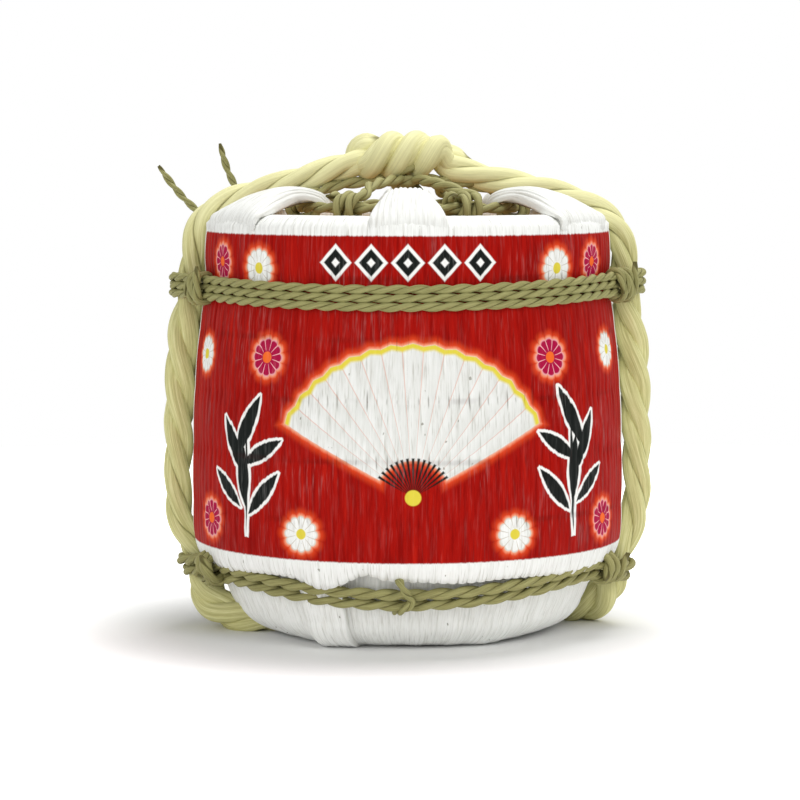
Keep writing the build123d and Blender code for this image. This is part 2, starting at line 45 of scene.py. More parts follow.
class Sock:
    # an output socket, so that node maths reads as plain expressions
    def __init__(self, net, socket):
        self.net = net
        self.socket = socket

    def out(self, name):
        return Sock(self.net, pick(self.socket.node.outputs, name))

    def math(self, operation, *others):
        return self.net.maths(operation, self, *others)

    def __add__(self, other):
        return self.math("ADD", other)

    def __sub__(self, other):
        return self.math("SUBTRACT", other)

    def __mul__(self, other):
        return self.math("MULTIPLY", other)

    def __truediv__(self, other):
        return self.math("DIVIDE", other)

    def __pow__(self, other):
        return self.math("POWER", other)

    def __neg__(self):
        return self.math("MULTIPLY", -1.0)

    def __gt__(self, other):
        return self.math("GREATER_THAN", other)

    def __rsub__(self, other):
        return self.net.maths("SUBTRACT", other, self)

    def __rtruediv__(self, other):
        return self.net.maths("DIVIDE", other, self)

    __radd__ = __add__
    __rmul__ = __mul__

    def sin(self):
        return self.math("SINE")

    def cos(self):
        return self.math("COSINE")

    def abs(self):
        return self.math("ABSOLUTE")

    def floor(self):
        return self.math("FLOOR")

    def sqrt(self):
        return self.math("SQRT")

    def least(self, other):
        return self.math("MINIMUM", other)

    def most(self, other):
        return self.math("MAXIMUM", other)

    def wrap(self, low, high):
        return self.math("WRAP", high, low)

    def fade(self, start, end):
        # 0 at start and 1 at end, eased; start may be the larger
        sockets = {"Value": self, "From Min": start, "From Max": end}
        return self.net.node("ShaderNodeMapRange", sockets, interpolation_type="SMOOTHSTEP")


class Net:
    # a node tree, with one way to add any node
    def __init__(self, tree):
        self.tree = tree

    def node(self, kind, sockets=None, **settings):
        made = self.tree.nodes.new(kind)
        for name, value in settings.items():
            setattr(made, name, value)
        for name, value in (sockets or {}).items():
            socket = pick(made.inputs, name)
            if isinstance(value, Sock):
                self.tree.links.new(value.socket, socket)
            else:
                socket.default_value = value
        shown = [socket for socket in made.outputs if socket.enabled]
        return Sock(self, shown[0]) if shown else None

    def maths(self, operation, *values):
        return self.node("ShaderNodeMath", dict(enumerate(values)), operation=operation)

    def vector(self, operation, *values):
        return self.node("ShaderNodeVectorMath", dict(enumerate(values)), operation=operation)

    def scaled(self, vector, factor):
        return self.node("ShaderNodeVectorMath", {0: vector, "Scale": factor}, operation="SCALE")

    def join(self, x, y, z):
        return self.node("ShaderNodeCombineXYZ", {0: x, 1: y, 2: z})

    def split(self, vector):
        parts = self.node("ShaderNodeSeparateXYZ", {0: vector})
        return parts.out("X"), parts.out("Y"), parts.out("Z")

    def noise(self, vector, scale, detail, roughness):
        sockets = {"Vector": vector, "Scale": scale, "Detail": detail, "Roughness": roughness}
        return self.node("ShaderNodeTexNoise", sockets)

    def grain(self, first, second, shape, seed):
        # noise over two values; shape is how fast it changes along each, its detail and roughness
        firstScale, secondScale, detail, roughness = shape
        return self.noise(self.join(first * firstScale, second * secondScale, seed), 1.0, detail, roughness)

    def chance(self, first, second, seed):
        # one value of its own for each cell
        cell = self.join(first.floor(), second.floor(), seed)
        return self.node("ShaderNodeTexWhiteNoise", {"Vector": cell}, noise_dimensions="3D").out("Value")

    def blend(self, factor, first, second):
        sockets = {"Factor": factor, "A": first, "B": second}
        return self.node("ShaderNodeMix", sockets, data_type="RGBA")

    def layer(self, colour, mask, second, start, end, share=1.0):
        # lays a second colour where a mask passes from start to end
        return self.blend(mask.fade(start, end) * share, colour, second)


def pick(sockets, name):
    if isinstance(name, int):
        return sockets[name]
    return next(socket for socket in sockets if socket.name == name and socket.enabled)


def paint(red, green, blue):
    # a display colour, 0 to 255, as Blender's linear colour
    linear = []
    for value in (red, green, blue):
        share = value / 255
        linear.append(share / 12.92 if share <= 0.04045 else ((share + 0.055) / 1.055) ** 2.4)
    return (*linear, 1.0)


def polar(radius, degrees, height=0.0):
    angle = math.radians(degrees)
    return Vector((radius * math.cos(angle), radius * math.sin(angle), height))


def clamped(value):
    return max(0.0, min(1.0, value))


def eased(value):
    share = clamped(value)
    return share * share * (3 - 2 * share)


# Materials
def material(name):
    made = bpy.data.materials.new(name)
    made.use_nodes = True
    made.node_tree.nodes.clear()
    return made, Net(made.node_tree)


def surface(net, colour, roughness, bump, strength, distance, specular):
    normal = net.node("ShaderNodeBump", {"Strength": strength, "Distance": distance, "Height": bump})
    sockets = {"Base Color": colour, "Roughness": roughness, "Specular IOR Level": specular, "Normal": normal}
    shader = net.node("ShaderNodeBsdfPrincipled", sockets)
    net.node("ShaderNodeOutputMaterial", {"Surface": shader})


def attribute(net, name, output="Fac"):
    return net.node("ShaderNodeAttribute", attribute_name=name).out(output)


def objectPlace(net):
    return net.node("ShaderNodeTexCoord").out("Object")


# the crevice colour of each rope is painted shade where the strands press together
ropeFinish = {
    "rice_rope": {
        "light": paint(233, 230, 176), "mid": paint(211, 207, 147), "shade": paint(181, 176, 115),
        # the pale colour is a painted highlight towards the top
        "litTop": paint(246, 243, 194), "creviceShade": paint(108, 102, 52),
        "litTopShare": 0.45,  # how far a painted highlight pales it towards the top
        "creviceShadeTone": (0.76, 0.60),  # share of the way out where the painted shade between strands starts and ends
        "streaks": 2.6, "stretch": 22.0,
    },
    "fine_twine": {
        "light": paint(165, 162, 109), "mid": paint(151, 148, 96), "shade": paint(130, 126, 77),
        "litTop": paint(190, 187, 140), "creviceShade": paint(84, 78, 38),
        "litTopShare": 0.0, "creviceShadeTone": (0.64, 0.45), "streaks": 1.6, "stretch": 60.0,
    },
    "lacing_twine": {
        "light": paint(168, 165, 111), "mid": paint(152, 148, 96), "shade": paint(130, 125, 76),
        "litTop": paint(200, 196, 144), "creviceShade": paint(84, 78, 38),
        "litTopShare": 0.15, "creviceShadeTone": (0.64, 0.45), "streaks": 1.8, "stretch": 50.0,
    },
}
# fibres that all ropes share, with their painted shade and highlight; a tone is where it starts and ends, and
# how much of it shows
ropeGrain = {
    "broad": (1.3, 3.0, 0.6), "fine": (5.5, 3.0, 0.65), "broadShare": 0.55, "strandShift": 11.3,
    "dye": (3.1, 40.0, 2.0, 0.5), "midTone": (0.36, 0.55), "lightTone": (0.50, 0.66, 0.85),
    "dyeTone": (0.62, 0.80, 0.25), "litTopHeight": (0.160, 0.188), "creviceShadeShare": 0.85,
    "roughness": 0.5, "fineRoughness": 0.25, "fineBump": 0.7,
    "surface": {"strength": 0.35, "distance": 0.0006, "specular": 0.22},
}


def ropeMaterial(name, look):
    # long fibres along each strand, with painted shade where the strands press together
    made, net = material(name)
    ringX, ringY, _ = net.split(attribute(net, "ring", "Vector"))
    along = attribute(net, "along")
    strand = attribute(net, "strand")
    depth = attribute(net, "depth")
    height = net.split(objectPlace(net))[2]
    reach = along * look["stretch"] + strand * ropeGrain["strandShift"]
    fibre = net.join(ringX * look["streaks"], ringY * look["streaks"], reach)
    broad = net.noise(fibre, *ropeGrain["broad"])
    fine = net.noise(fibre, *ropeGrain["fine"])
    dye = net.grain(strand, along, ropeGrain["dye"], 0.0)
    tone = broad * ropeGrain["broadShare"] + fine * (1 - ropeGrain["broadShare"])
    colour = net.layer(look["shade"], tone, look["mid"], *ropeGrain["midTone"])
    colour = net.layer(colour, tone, look["light"], *ropeGrain["lightTone"])
    colour = net.layer(colour, dye, look["shade"], *ropeGrain["dyeTone"])
    # painted highlight: paler towards the top, where the light from above falls
    colour = net.layer(colour, height, look["litTop"], *ropeGrain["litTopHeight"], look["litTopShare"])
    # painted shade between the strands
    colour = net.layer(colour, depth, look["creviceShade"], *look["creviceShadeTone"], ropeGrain["creviceShadeShare"])
    roughness = ropeGrain["roughness"] + fine * ropeGrain["fineRoughness"]
    surface(net, colour, roughness, broad + fine * ropeGrain["fineBump"], **ropeGrain["surface"])
    return made


ropeLooks = {name: ropeMaterial(name, look) for name, look in ropeFinish.items()}

strawFinish = {
    "white": paint(240, 241, 237), "bright": paint(247, 247, 244), "grey": paint(222, 222, 216),
    # the colour in the valleys between the raised bundles is painted shade
    # the colour that darkens the pinched creases and the top flaps is painted shade
    "thread": paint(170, 167, 156), "valleyShade": paint(198, 198, 190), "paintedShade": paint(118, 114, 100),
    "stain": paint(214, 208, 180), "speck": paint(120, 116, 98),
    "stalks": (2.6, 60.0, 3.0, 0.6), "hairs": (7.0, 95.0, 2.0, 0.6), "stalkShare": 0.6,
    "cloud": (30.0, 3.0, 0.6), "dust": (520.0, 1.0, 0.5), "dustLength": 0.55,
    "whiteTone": (0.34, 0.54), "brightTone": (0.52, 0.68), "threadTone": (0.44, 0.28),
    "stainTone": (0.60, 0.78, 0.22), "valleyShadeTone": (0.42, 0.02, 0.6), "dustTone": (0.76, 0.80, 0.7),
    "roughness": 0.62, "toneRoughness": 0.2,
    "bump": {"strength": 0.4, "distance": 0.0004},
}


def strawGround(net, place, threads):
    # bleached straw: fine stalks up the mat, thin dark threads between them, a stain here and there, and
    # painted shade in the valleys between bundles
    look = strawFinish
    x, y, z = net.split(place)
    turn = attribute(net, "turn")
    rise = attribute(net, "rise")
    stalks = net.grain(turn, rise, look["stalks"], 0.0)
    hairs = net.grain(turn, rise, look["hairs"], 3.0)
    cloud = net.noise(place, *look["cloud"])
    dust = net.noise(net.join(x, y, z * look["dustLength"]), *look["dust"])
    tone = stalks * look["stalkShare"] + hairs * (1 - look["stalkShare"])
    colour = net.layer(look["grey"], tone, look["white"], *look["whiteTone"])
    colour = net.layer(colour, tone, look["bright"], *look["brightTone"])
    colour = net.layer(colour, hairs, look["thread"], *look["threadTone"], threads)
    colour = net.layer(colour, cloud, look["stain"], *look["stainTone"])
    # painted shade in the valleys between the bundles
    colour = net.layer(colour, attribute(net, "rib"), look["valleyShade"], *look["valleyShadeTone"])
    colour = net.layer(colour, dust, look["speck"], *look["dustTone"])
    return colour, tone


wovenRow = {
    "band": 24.5, "bundle": 4.1,  # mm between rows, and between bundles
    "swayGrain": (0.8, 60.0, 1.0, 0.5), "sway": 0.5,
    "shortest": 0.8, "longer": 5.0,  # half lengths of the creases, mm
    "width": (0.38, 0.05), "ends": (1.0, 0.2), "faintest": 0.1, "darker": 0.6, "near": (1.8, 0.3),
}


def wovenRows(net):
    # creases where the rows draw the bundles in, no two alike, for painted shade, and how near a row is
    turn = attribute(net, "turn")
    rise = attribute(net, "rise")
    sway = net.grain(turn, rise, wovenRow["swayGrain"], 5.0) - 0.5
    turn = turn + sway * wovenRow["sway"] + 0.5
    rows = rise * (mmPerMetre / wovenRow["band"]) + 0.5
    chance = net.chance(turn, rows, 2.0)
    across = (turn.wrap(0.0, 1.0) - 0.5).abs() * wovenRow["bundle"]
    fromRow = (rows.wrap(0.0, 1.0) - 0.5).abs() * wovenRow["band"]
    length = chance * chance * wovenRow["longer"] + wovenRow["shortest"]
    crease = across.fade(*wovenRow["width"]) * (fromRow / length).fade(*wovenRow["ends"])
    return crease * (chance * wovenRow["darker"] + wovenRow["faintest"]), fromRow.fade(*wovenRow["near"])


plainStraw = {"threads": 0.30, "specular": 0.15, "topShade": 0.07, "footShade": 0.0}


def whiteStraw(name, shade):
    made, net = material(name)
    colour, tone = strawGround(net, objectPlace(net), plainStraw["threads"])
    # painted shade, darker by the given share
    colour = net.blend(shade, colour, strawFinish["paintedShade"])
    roughness = strawFinish["roughness"] + tone * strawFinish["toneRoughness"]
    surface(net, colour, roughness, tone, specular=plainStraw["specular"], **strawFinish["bump"])
    return made


# The print: mm round the front from its middle, and mm above the floor
printDesign = {
    "wrapRadius": 90.0,
    "sides": (-83.0, 82.0),  # degrees from the front
    "band": (39.3, 170.7),
    "red": paint(160, 14, 6), "darkRed": paint(136, 6, 2), "brightRed": paint(184, 28, 14),
    "glow": paint(226, 74, 34), "paleGlow": paint(250, 196, 156), "white": paint(243, 243, 239),
    # the colour that darkens the ink in the creases and along the rows is painted shade
    "ink": paint(20, 24, 22), "inkShade": paint(52, 8, 4), "crimson": paint(168, 16, 64),
    "petalLine": paint(240, 170, 176), "petalShade": paint(206, 202, 190),
    "unbleached": paint(120, 123, 112), "foldShade": paint(176, 178, 168),
    "foldLine": paint(214, 132, 104), "stamen": paint(222, 206, 70), "orange": paint(238, 106, 40),
    # straw and ink
    "threads": 0.45, "rowShine": 0.35, "creaseShade": 0.7, "specular": 0.05, "inkGloss": 0.14,
    "ragged": 1.6, "bandBlur": 0.4, "sideBlur": 0.5,  # the field's edges follow the stalks
    "streaks": (0.55, 0.035, 4.0, 0.65), "redTone": (0.34, 0.56), "brightTone": (0.55, 0.72, 0.8),
    "patch": (42.0, 2.0, 0.5), "patchTone": (0.50, 0.66),
    "wornTone": (0.48, 0.72), "leastWorn": 0.03, "patchWorn": 0.09, "rowInkShade": 0.22, "creaseInkShade": 0.45,
    # folding fan
    "fanPivot": (2.0, 66.0),
    "fanReach": (15.0, 62.0),  # inner and outer radius of its paper
    "fanSpread": 62.0,  # half its opening, degrees
    "fanFolds": 15, "scallop": 2.4, "paperShade": 0.11, "foldTone": (0.1, 0.9, 0.16),
    "foldLineTone": (0.45, 0.5, 0.5), "rimWidth": (3.0, 1.4), "rimEdge": (0.2, -0.4), "fanEdge": (0.4, -0.4),
    "ribHalf": 0.24, "ribOverlap": 1.0, "ribInset": 0.4, "ribRoot": 2.5, "pin": 3.2,
    "glowTone": (4.6, 0.3, 0.9), "paleGlowTone": (1.7, -0.2, 0.6), "inkEdge": (0.3, -0.3),
    # middle and half size of each rosette
    "petals": 12, "petalEdge": (0.35, -0.35), "petalRim": (-0.9, -0.3), "petalRimShare": 0.8,
    "whiteRosettes": [
        (-70, 157, 8.0), (70, 157, 8.0), (-108, 120, 7.5), (106, 122, 7.5), (-44, 50, 7.5), (44, 50, 7.5),
    ],
    "crimsonRosettes": [
        (-98, 159, 7.5), (97, 159, 7.5), (-62, 121, 8.0), (63, 121, 8.0), (-98, 52, 8.0), (97, 52, 8.0),
    ],
    # middle, lean, half length and half width of each brushed leaf and stem
    "leaves": [
        (-72, 92, 62, 15, 3.4), (-80, 84, 118, 13, 3.0), (-64, 82, 28, 12, 2.8), (-74, 73, 96, 14, 3.2),
        (-84, 66, 140, 11, 2.6), (-63, 65, 48, 12, 2.8), (74, 96, 120, 15, 3.4), (82, 86, 66, 13, 3.0),
        (66, 85, 150, 12, 2.8), (75, 75, 86, 14, 3.2), (85, 68, 40, 11, 2.6), (64, 67, 132, 12, 2.8),
    ],
    "stems": [(-72, 71, 90, 23, 0.8), (74, 74, 92, 26, 0.8)],
    "brushGrain": (0.9, 0.12, 3.0, 0.5), "brushRough": 1.2, "brushOutline": (1.6, 1.0),
    # a row of lozenges: middle height, spacing, half width, half height and half length of the row
    "lozenges": (160.0, 15.4, 5.2, 5.6, 36.9), "lozengeEye": 0.34, "lozengeSlope": 0.7,
}
# parts of a rosette, as shares of its half size
rosetteShape = {
    "scallop": 0.16, "roundness": 0.5, "line": (0.30, 0.12), "lineFrom": (0.30, 0.40), "heart": (0.32, 0.26),
}


def turned(u, v, middleU, middleV, degrees):
    # distances from a middle, measured along and across a lean
    c = math.cos(math.radians(degrees))
    s = math.sin(math.radians(degrees))
    x = u - middleU
    y = v - middleV
    return x * c + y * s, y * c - x * s


def rosette(u, v, spot, petals):
    # distance outside a round flower of many petals, the lines between them, and its heart
    middleU, middleV, size = spot
    shape = rosetteShape
    x = u - middleU
    y = v - middleV
    out = (x * x + y * y).sqrt()
    angle = y.math("ARCTAN2", x)
    petal = (angle * (petals / 2)).cos().abs()
    edge = petal ** shape["roundness"] * (size * shape["scallop"]) + size * (1 - shape["scallop"])
    lines = petal.fade(*shape["line"]) * out.fade(*(size * share for share in shape["lineFrom"]))
    heart = out.fade(*(size * share for share in shape["heart"]))
    return out - edge, lines, heart


def printedStraw():
    look = printDesign
    made, net = material("printed_straw")
    place = objectPlace(net)
    ground, tone = strawGround(net, place, look["threads"])
    crease, row = wovenRows(net)
    ground = net.blend(row * look["rowShine"], ground, strawFinish["bright"])
    # painted shade in the creases
    ground = net.blend(crease * look["creaseShade"], ground, strawFinish["paintedShade"])
    x, y, z = net.split(place)
    u = x.math("ARCTAN2", -y) * look["wrapRadius"]
    v = z * mmPerMetre
    ragged = (tone - 0.5) * look["ragged"]

    def between(value, low, high, blur):
        edge = value + ragged
        return edge.fade(low - blur, low + blur) * edge.fade(high + blur, high - blur)

    left, right = (math.radians(side) * look["wrapRadius"] for side in look["sides"])
    printed = between(v, *look["band"], look["bandBlur"]) * between(u, left, right, look["sideBlur"])

    # red ground, streaked with the stalks
    streak = net.grain(u, v, look["streaks"], 7.0)
    ink = net.layer(look["darkRed"], streak, look["red"], *look["redTone"])
    ink = net.layer(ink, streak, look["brightRed"], *look["brightTone"])

    # folding fan in the middle
    pivotU, pivotV = look["fanPivot"]
    inner, outer = look["fanReach"]
    spread = math.radians(look["fanSpread"])
    folds = look["fanFolds"]
    fanX = u - pivotU
    fanY = v - pivotV
    fanOut = (fanX * fanX + fanY * fanY).sqrt()
    fanAngle = fanX.math("ARCTAN2", fanY)
    fold = (fanAngle * (folds / spread / 2) + 0.5 * folds).wrap(0.0, 1.0)
    fromFold = (fold - 0.5).abs()
    outsideArc = (fanOut - (fromFold * -look["scallop"] + outer)).most(inner - fanOut)
    outsideSide = (fanAngle.abs() - spread) * fanOut
    outsideFan = outsideArc.most(outsideSide)
    ribs = (fromFold - look["ribHalf"]) * (fanOut * (2 * spread / folds))
    ribs = ribs.most(fanOut - inner - look["ribOverlap"]).most(outsideSide + look["ribInset"])
    ribs = ribs.most(look["ribRoot"] - fanOut)

    # brushed leaves on two stems
    brush = None
    for *lie, halfLong, halfWide in look["leaves"] + look["stems"]:
        lengthways, across = turned(u, v, *lie)
        reach = lengthways / halfLong
        outside = (across.abs() - (1.0 - reach * reach) * halfWide).most(lengthways.abs() - halfLong)
        brush = outside if brush is None else brush.least(outside)
    brush = brush + (net.grain(u, v, look["brushGrain"], 1.0) - 0.5) * look["brushRough"]

    # lozenges in a row under the rim
    rowV, spacing, halfWide, halfHigh, rowHalf = look["lozenges"]
    step = u.wrap(-spacing / 2, spacing / 2).abs()
    slant = step * (1 / halfWide) + (v - rowV).abs() * (1 / halfHigh)
    lozenge = ((slant - 1.0) * (halfWide * look["lozengeSlope"])).most(u.abs() - rowHalf)
    eye = (slant - look["lozengeEye"]) * (halfWide * look["lozengeSlope"])
    brush = brush.least(lozenge.most(-eye))

    # rosettes, in a soft glow like the fan's
    flowers = []
    glow = outsideFan
    kinds = (
        ("whiteRosettes", ground, look["petalShade"], look["stamen"]),
        ("crimsonRosettes", look["crimson"], look["petalLine"], look["orange"]),
    )
    for kind, *colours in kinds:
        for spot in look[kind]:
            outside, lines, heart = rosette(u, v, spot, look["petals"])
            flowers.append((outside, lines, heart, *colours))
            glow = glow.least(outside)
    glow = glow + ragged
    ink = net.layer(ink, glow, look["glow"], *look["glowTone"])
    ink = net.layer(ink, glow, look["paleGlow"], *look["paleGlowTone"])

    # the design over its glow
    paper = net.blend(look["paperShade"], ground, look["unbleached"])
    paper = net.layer(paper, fold, look["foldShade"], *look["foldTone"])
    paper = net.layer(paper, fromFold, look["foldLine"], *look["foldLineTone"])
    rim = outsideArc.abs().fade(*look["rimWidth"]) * outsideFan.fade(*look["rimEdge"])
    paper = net.blend(rim * (fanOut > (inner + outer) / 2), paper, look["stamen"])
    ink = net.layer(ink, outsideFan, paper, *look["fanEdge"])
    ink = net.layer(ink, ribs, look["ink"], *look["inkEdge"])
    ink = net.layer(ink, fanOut - look["pin"], look["stamen"], *look["inkEdge"])
    for outside, lines, heart, petals, line, middle in flowers:
        bloom = net.blend(lines.most(outside.fade(*look["petalRim"]) * look["petalRimShare"]), petals, line)
        bloom = net.blend(heart, bloom, middle)
        ink = net.layer(ink, outside, bloom, *look["petalEdge"])
    ink = net.layer(ink, brush, look["white"], *look["brushOutline"])
    ink = net.layer(ink, brush, look["ink"], *look["inkEdge"])

    # the ink thins on the crowns of the bundles; painted shade darkens it in the creases and along the rows
    patch = net.noise(place, *look["patch"]).fade(*look["patchTone"])
    worn = tone.fade(*look["wornTone"]) * (patch * look["patchWorn"] + look["leastWorn"])
    ink = net.blend(worn, ink, look["white"])
    ink = net.blend(row * patch * look["rowInkShade"], ink, look["inkShade"])
    ink = net.blend(crease * look["creaseInkShade"], ink, look["inkShade"])
    colour = net.blend(printed, ground, ink)
    roughness = strawFinish["roughness"] + tone * strawFinish["toneRoughness"] - printed * look["inkGloss"]
    surface(net, colour, roughness, tone, specular=look["specular"], **strawFinish["bump"])
    return made


# cask wood, seen through the mouth; grain is how fast it changes along each axis
woodFinish = {
    "stave_cedar": {
        "light": paint(214, 178, 132), "dark": paint(168, 122, 80), "grain": (900.0, 900.0, 22.0),
    },
    "head_cedar": {
        "light": paint(216, 181, 136), "dark": paint(172, 127, 84), "grain": (22.0, 900.0, 900.0),
    },
    "bung_cedar": {
        "light": paint(218, 184, 140), "dark": paint(176, 132, 90), "grain": (900.0, 90.0, 22.0),
        "pith": (-0.062, 0.070),  # heart of the tree that the end grain curves round
    },
    "bamboo": {
        "light": paint(206, 190, 122), "dark": paint(160, 142, 82), "grain": (120.0, 120.0, 1400.0),
    },
}
woodGrain = {
    "figure": (0.35, 3.0, 0.55), "pores": (2.2, 2.0, 0.6), "figureShare": 0.7, "lightTone": (0.36, 0.64),
    "roughness": 0.5, "poreRoughness": 0.25,
    "surface": {"strength": 0.25, "distance": 0.0003, "specular": 0.3},
}


def woodMaterial(name, look):
    made, net = material(name)
    place = objectPlace(net)
    if "pith" in look:
        x, y, z = net.split(place)
        pithX, pithY = look["pith"]
        fromPith = ((x - pithX) ** 2.0 + (y - pithY) ** 2.0).sqrt()
        place = net.join(fromPith, y, z)
    stretched = net.vector("MULTIPLY", place, look["grain"])
    figure = net.noise(stretched, *woodGrain["figure"])
    pores = net.noise(stretched, *woodGrain["pores"])
    tone = figure * woodGrain["figureShare"] + pores * (1 - woodGrain["figureShare"])
    colour = net.layer(look["dark"], tone, look["light"], *woodGrain["lightTone"])
    roughness = woodGrain["roughness"] + pores * woodGrain["poreRoughness"]
    surface(net, colour, roughness, pores, **woodGrain["surface"])
    return made


def woodFor(name):
    if name == "bung":
        return "bung_cedar"
    if name.endswith(("hoop", "pegs")):
        return "bamboo"
    return "stave_cedar" if name.startswith("stave") else "head_cedar"


woodLooks = {name: woodMaterial(name, look) for name, look in woodFinish.items()}
for name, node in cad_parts.items():
    for slot in node.material_slots:
        slot.material = woodLooks[woodFor(name)]
strawTop = whiteStraw("white_straw_top", plainStraw["topShade"])
strawFoot = whiteStraw("white_straw_foot", plainStraw["footShade"])
strawPrinted = printedStraw()
print("straw, print and rope finishes made")


# Trees of geometry nodes
def nodeGroup(name, inputs):
    tree = bpy.data.node_groups.new(name, "GeometryNodeTree")
    tree.interface.new_socket("Geometry", in_out="INPUT", socket_type="NodeSocketGeometry")
    for title, kind in inputs.items():
        tree.interface.new_socket(title, in_out="INPUT", socket_type="NodeSocket" + kind)
    tree.interface.new_socket("Geometry", in_out="OUTPUT", socket_type="NodeSocketGeometry")
    return Net(tree)


def store(net, geometry, name, value, kind="FLOAT"):
    sockets = {"Geometry": geometry, "Name": name, "Value": value}
    return net.node("GeometryNodeStoreNamedAttribute", sockets, data_type=kind, domain="POINT")


def named(net, name, kind="FLOAT"):
    return net.node("GeometryNodeInputNamedAttribute", {"Name": name}, data_type=kind)


def position(net):
    return net.node("GeometryNodeInputPosition")


def moved(net, geometry, how, value):
    return net.node("GeometryNodeSetPosition", {"Geometry": geometry, how: value})


def aboveFloor(net, geometry):
    x, y, z = net.split(position(net))
    return moved(net, geometry, "Position", net.join(x, y, z.most(0.0)))


def finishTree(net, geometry, given):
    smooth = net.node("GeometryNodeSetShadeSmooth", {"Geometry": geometry})
    real = net.node("GeometryNodeRealizeInstances", {"Geometry": smooth})
    dressed = net.node("GeometryNodeSetMaterial", {"Geometry": real, "Material": given.out("Material")})
    net.node("NodeGroupOutput", {"Geometry": dressed})
    return net


def applyTree(obj, net, values):
    # runs a tree on an object once and keeps the plain mesh
    modifier = obj.modifiers.new(net.tree.name, "NODES")
    modifier.node_group = net.tree
    for item in net.tree.interface.items_tree:
        if item.in_out == "INPUT" and item.name in values:
            modifier[item.identifier] = values[item.name]
    graph = bpy.context.evaluated_depsgraph_get()
    made = bpy.data.meshes.new_from_object(
        obj.evaluated_get(graph), preserve_all_data_layers=True, depsgraph=graph
    )
    obj.modifiers.remove(modifier)
    obj.data = made


# heights, and distances from the middle, between which the carry rope changes
looseKnot = {"height": (0.1955, 0.2000), "width": (0.030, 0.022), "closer": 0.5, "thicker": 0.26}
fullWaist = {"top": (0.1435, 0.132), "bottom": (0.060, 0.122), "share": 0.21}
fullFoot = {"height": (0.025, 0.016), "width": (0.062, 0.074), "share": 0.32}
ropeSway = {
    "sway": (45.0, 5.7, 2.0, 0.5), "swayTurn": 4.0,
    "swell": (90.0, 3.3, 2.0, 0.5), "swellShare": 2.0, "endTaper": 0.6,
}


def twistedRope():
    # strands laid round a line; keeps along, strand and ring for the fibres, and depth for the painted shade
    # between strands
    net = nodeGroup("twistedRope", {
        "Strands": "Int", "Twist": "Float", "Strand": "Float", "Lay": "Float", "Step": "Float",
        "Sides": "Int", "Uneven": "Float", "Loose": "Float", "Point": "Float", "Material": "Material",
    })
    given = net.node("NodeGroupInput")
    twist = given.out("Twist")
    thickness = given.out("Strand")
    uneven = given.out("Uneven")
    line = net.node("GeometryNodeMeshToCurve", {"Mesh": given.out("Geometry")})
    sockets = {"Curve": line, "Length": given.out("Step")}
    line = net.node("GeometryNodeResampleCurve", sockets, mode="LENGTH")
    sockets = {"Geometry": line, "Amount": given.out("Strands")}
    strands = net.node("GeometryNodeDuplicateElements", sockets, domain="SPLINE")
    along = net.node("GeometryNodeSplineParameter").out("Length")
    fromEnd = along.least(net.node("GeometryNodeSplineLength").out("Length") - along)
    kept = store(net, strands, "strand", strands.out("Duplicate Index"))
    kept = store(net, kept, "along", along)
    kept = store(net, kept, "axis", position(net), "FLOAT_VECTOR")
    kept = store(net, kept, "end", (1.0 - fromEnd / given.out("Point")).most(0.0))
    strand = named(net, "strand")
    axis = named(net, "axis", "FLOAT_VECTOR")

    # each strand's way round the line
    sway = net.grain(along, strand, ropeSway["sway"], 2.0) - 0.5
    angle = (along / given.out("Lay") + strand / given.out("Strands")) * (2 * math.pi)
    angle = angle + sway * uneven * ropeSway["swayTurn"]
    normal = net.node("GeometryNodeInputNormal")
    across = net.vector("CROSS_PRODUCT", net.node("GeometryNodeInputTangent"), normal)
    side = net.vector("ADD", net.scaled(normal, angle.cos()), net.scaled(across, angle.sin()))

    # open in the knot, fuller under the waist and at the foot, pointed at the ends
    axisX, _, axisZ = net.split(axis)
    fromMiddle = axisX.abs()
    loose = axisZ.fade(*looseKnot["height"]) * fromMiddle.fade(*looseKnot["width"]) * given.out("Loose")
    foot = axisZ.fade(*fullFoot["height"]) * fromMiddle.fade(*fullFoot["width"]) * fullFoot["share"]
    waist = axisZ.fade(*fullWaist["top"]) * axisZ.fade(*fullWaist["bottom"]) * fullWaist["share"]
    size = (foot + waist) * given.out("Loose") + 1.0
    size = size * (1.0 - named(net, "end") * ropeSway["endTaper"])
    laid = moved(net, kept, "Offset", net.scaled(side, twist * (1.0 - loose * looseKnot["closer"]) * size))
    sockets = {"Resolution": given.out("Sides"), "Radius": 1.0}
    ring = net.node("GeometryNodeCurvePrimitiveCircle", sockets, mode="RADIUS")
    ring = store(net, ring, "ring", position(net), "FLOAT_VECTOR")
    swell = net.grain(named(net, "along"), strand, ropeSway["swell"], 9.0) - 0.5
    thick = thickness * (swell * uneven * ropeSway["swellShare"] + 1.0)
    thick = thick * (loose * looseKnot["thicker"] + 1.0) * size
    sockets = {"Curve": laid, "Profile Curve": ring, "Scale": thick, "Fill Caps": True}
    body = aboveFloor(net, net.node("GeometryNodeCurveToMesh", sockets))
    far = net.vector("LENGTH", net.vector("SUBTRACT", position(net), axis)).out("Value")
    body = store(net, body, "depth", far / (twist + thickness))
    return finishTree(net, body, given)


bundleShape = {
    "sway": (0.35, 1.3, 2.0, 0.5), "swayShare": 1.2, "plainRound": 0.6,
    "leafHalf": 0.60, "leafRound": 0.35, "leafTip": 0.02,  # half its length in rows, and its width in bundles
    "lowest": 0.75, "higher": 0.35, "drift": (0.5, 2.0, 2.0, 0.5),
    "puffHalf": 0.0024, "puffTurn": 1.5,  # half the height of the puffed row under the rim, and its pace
}


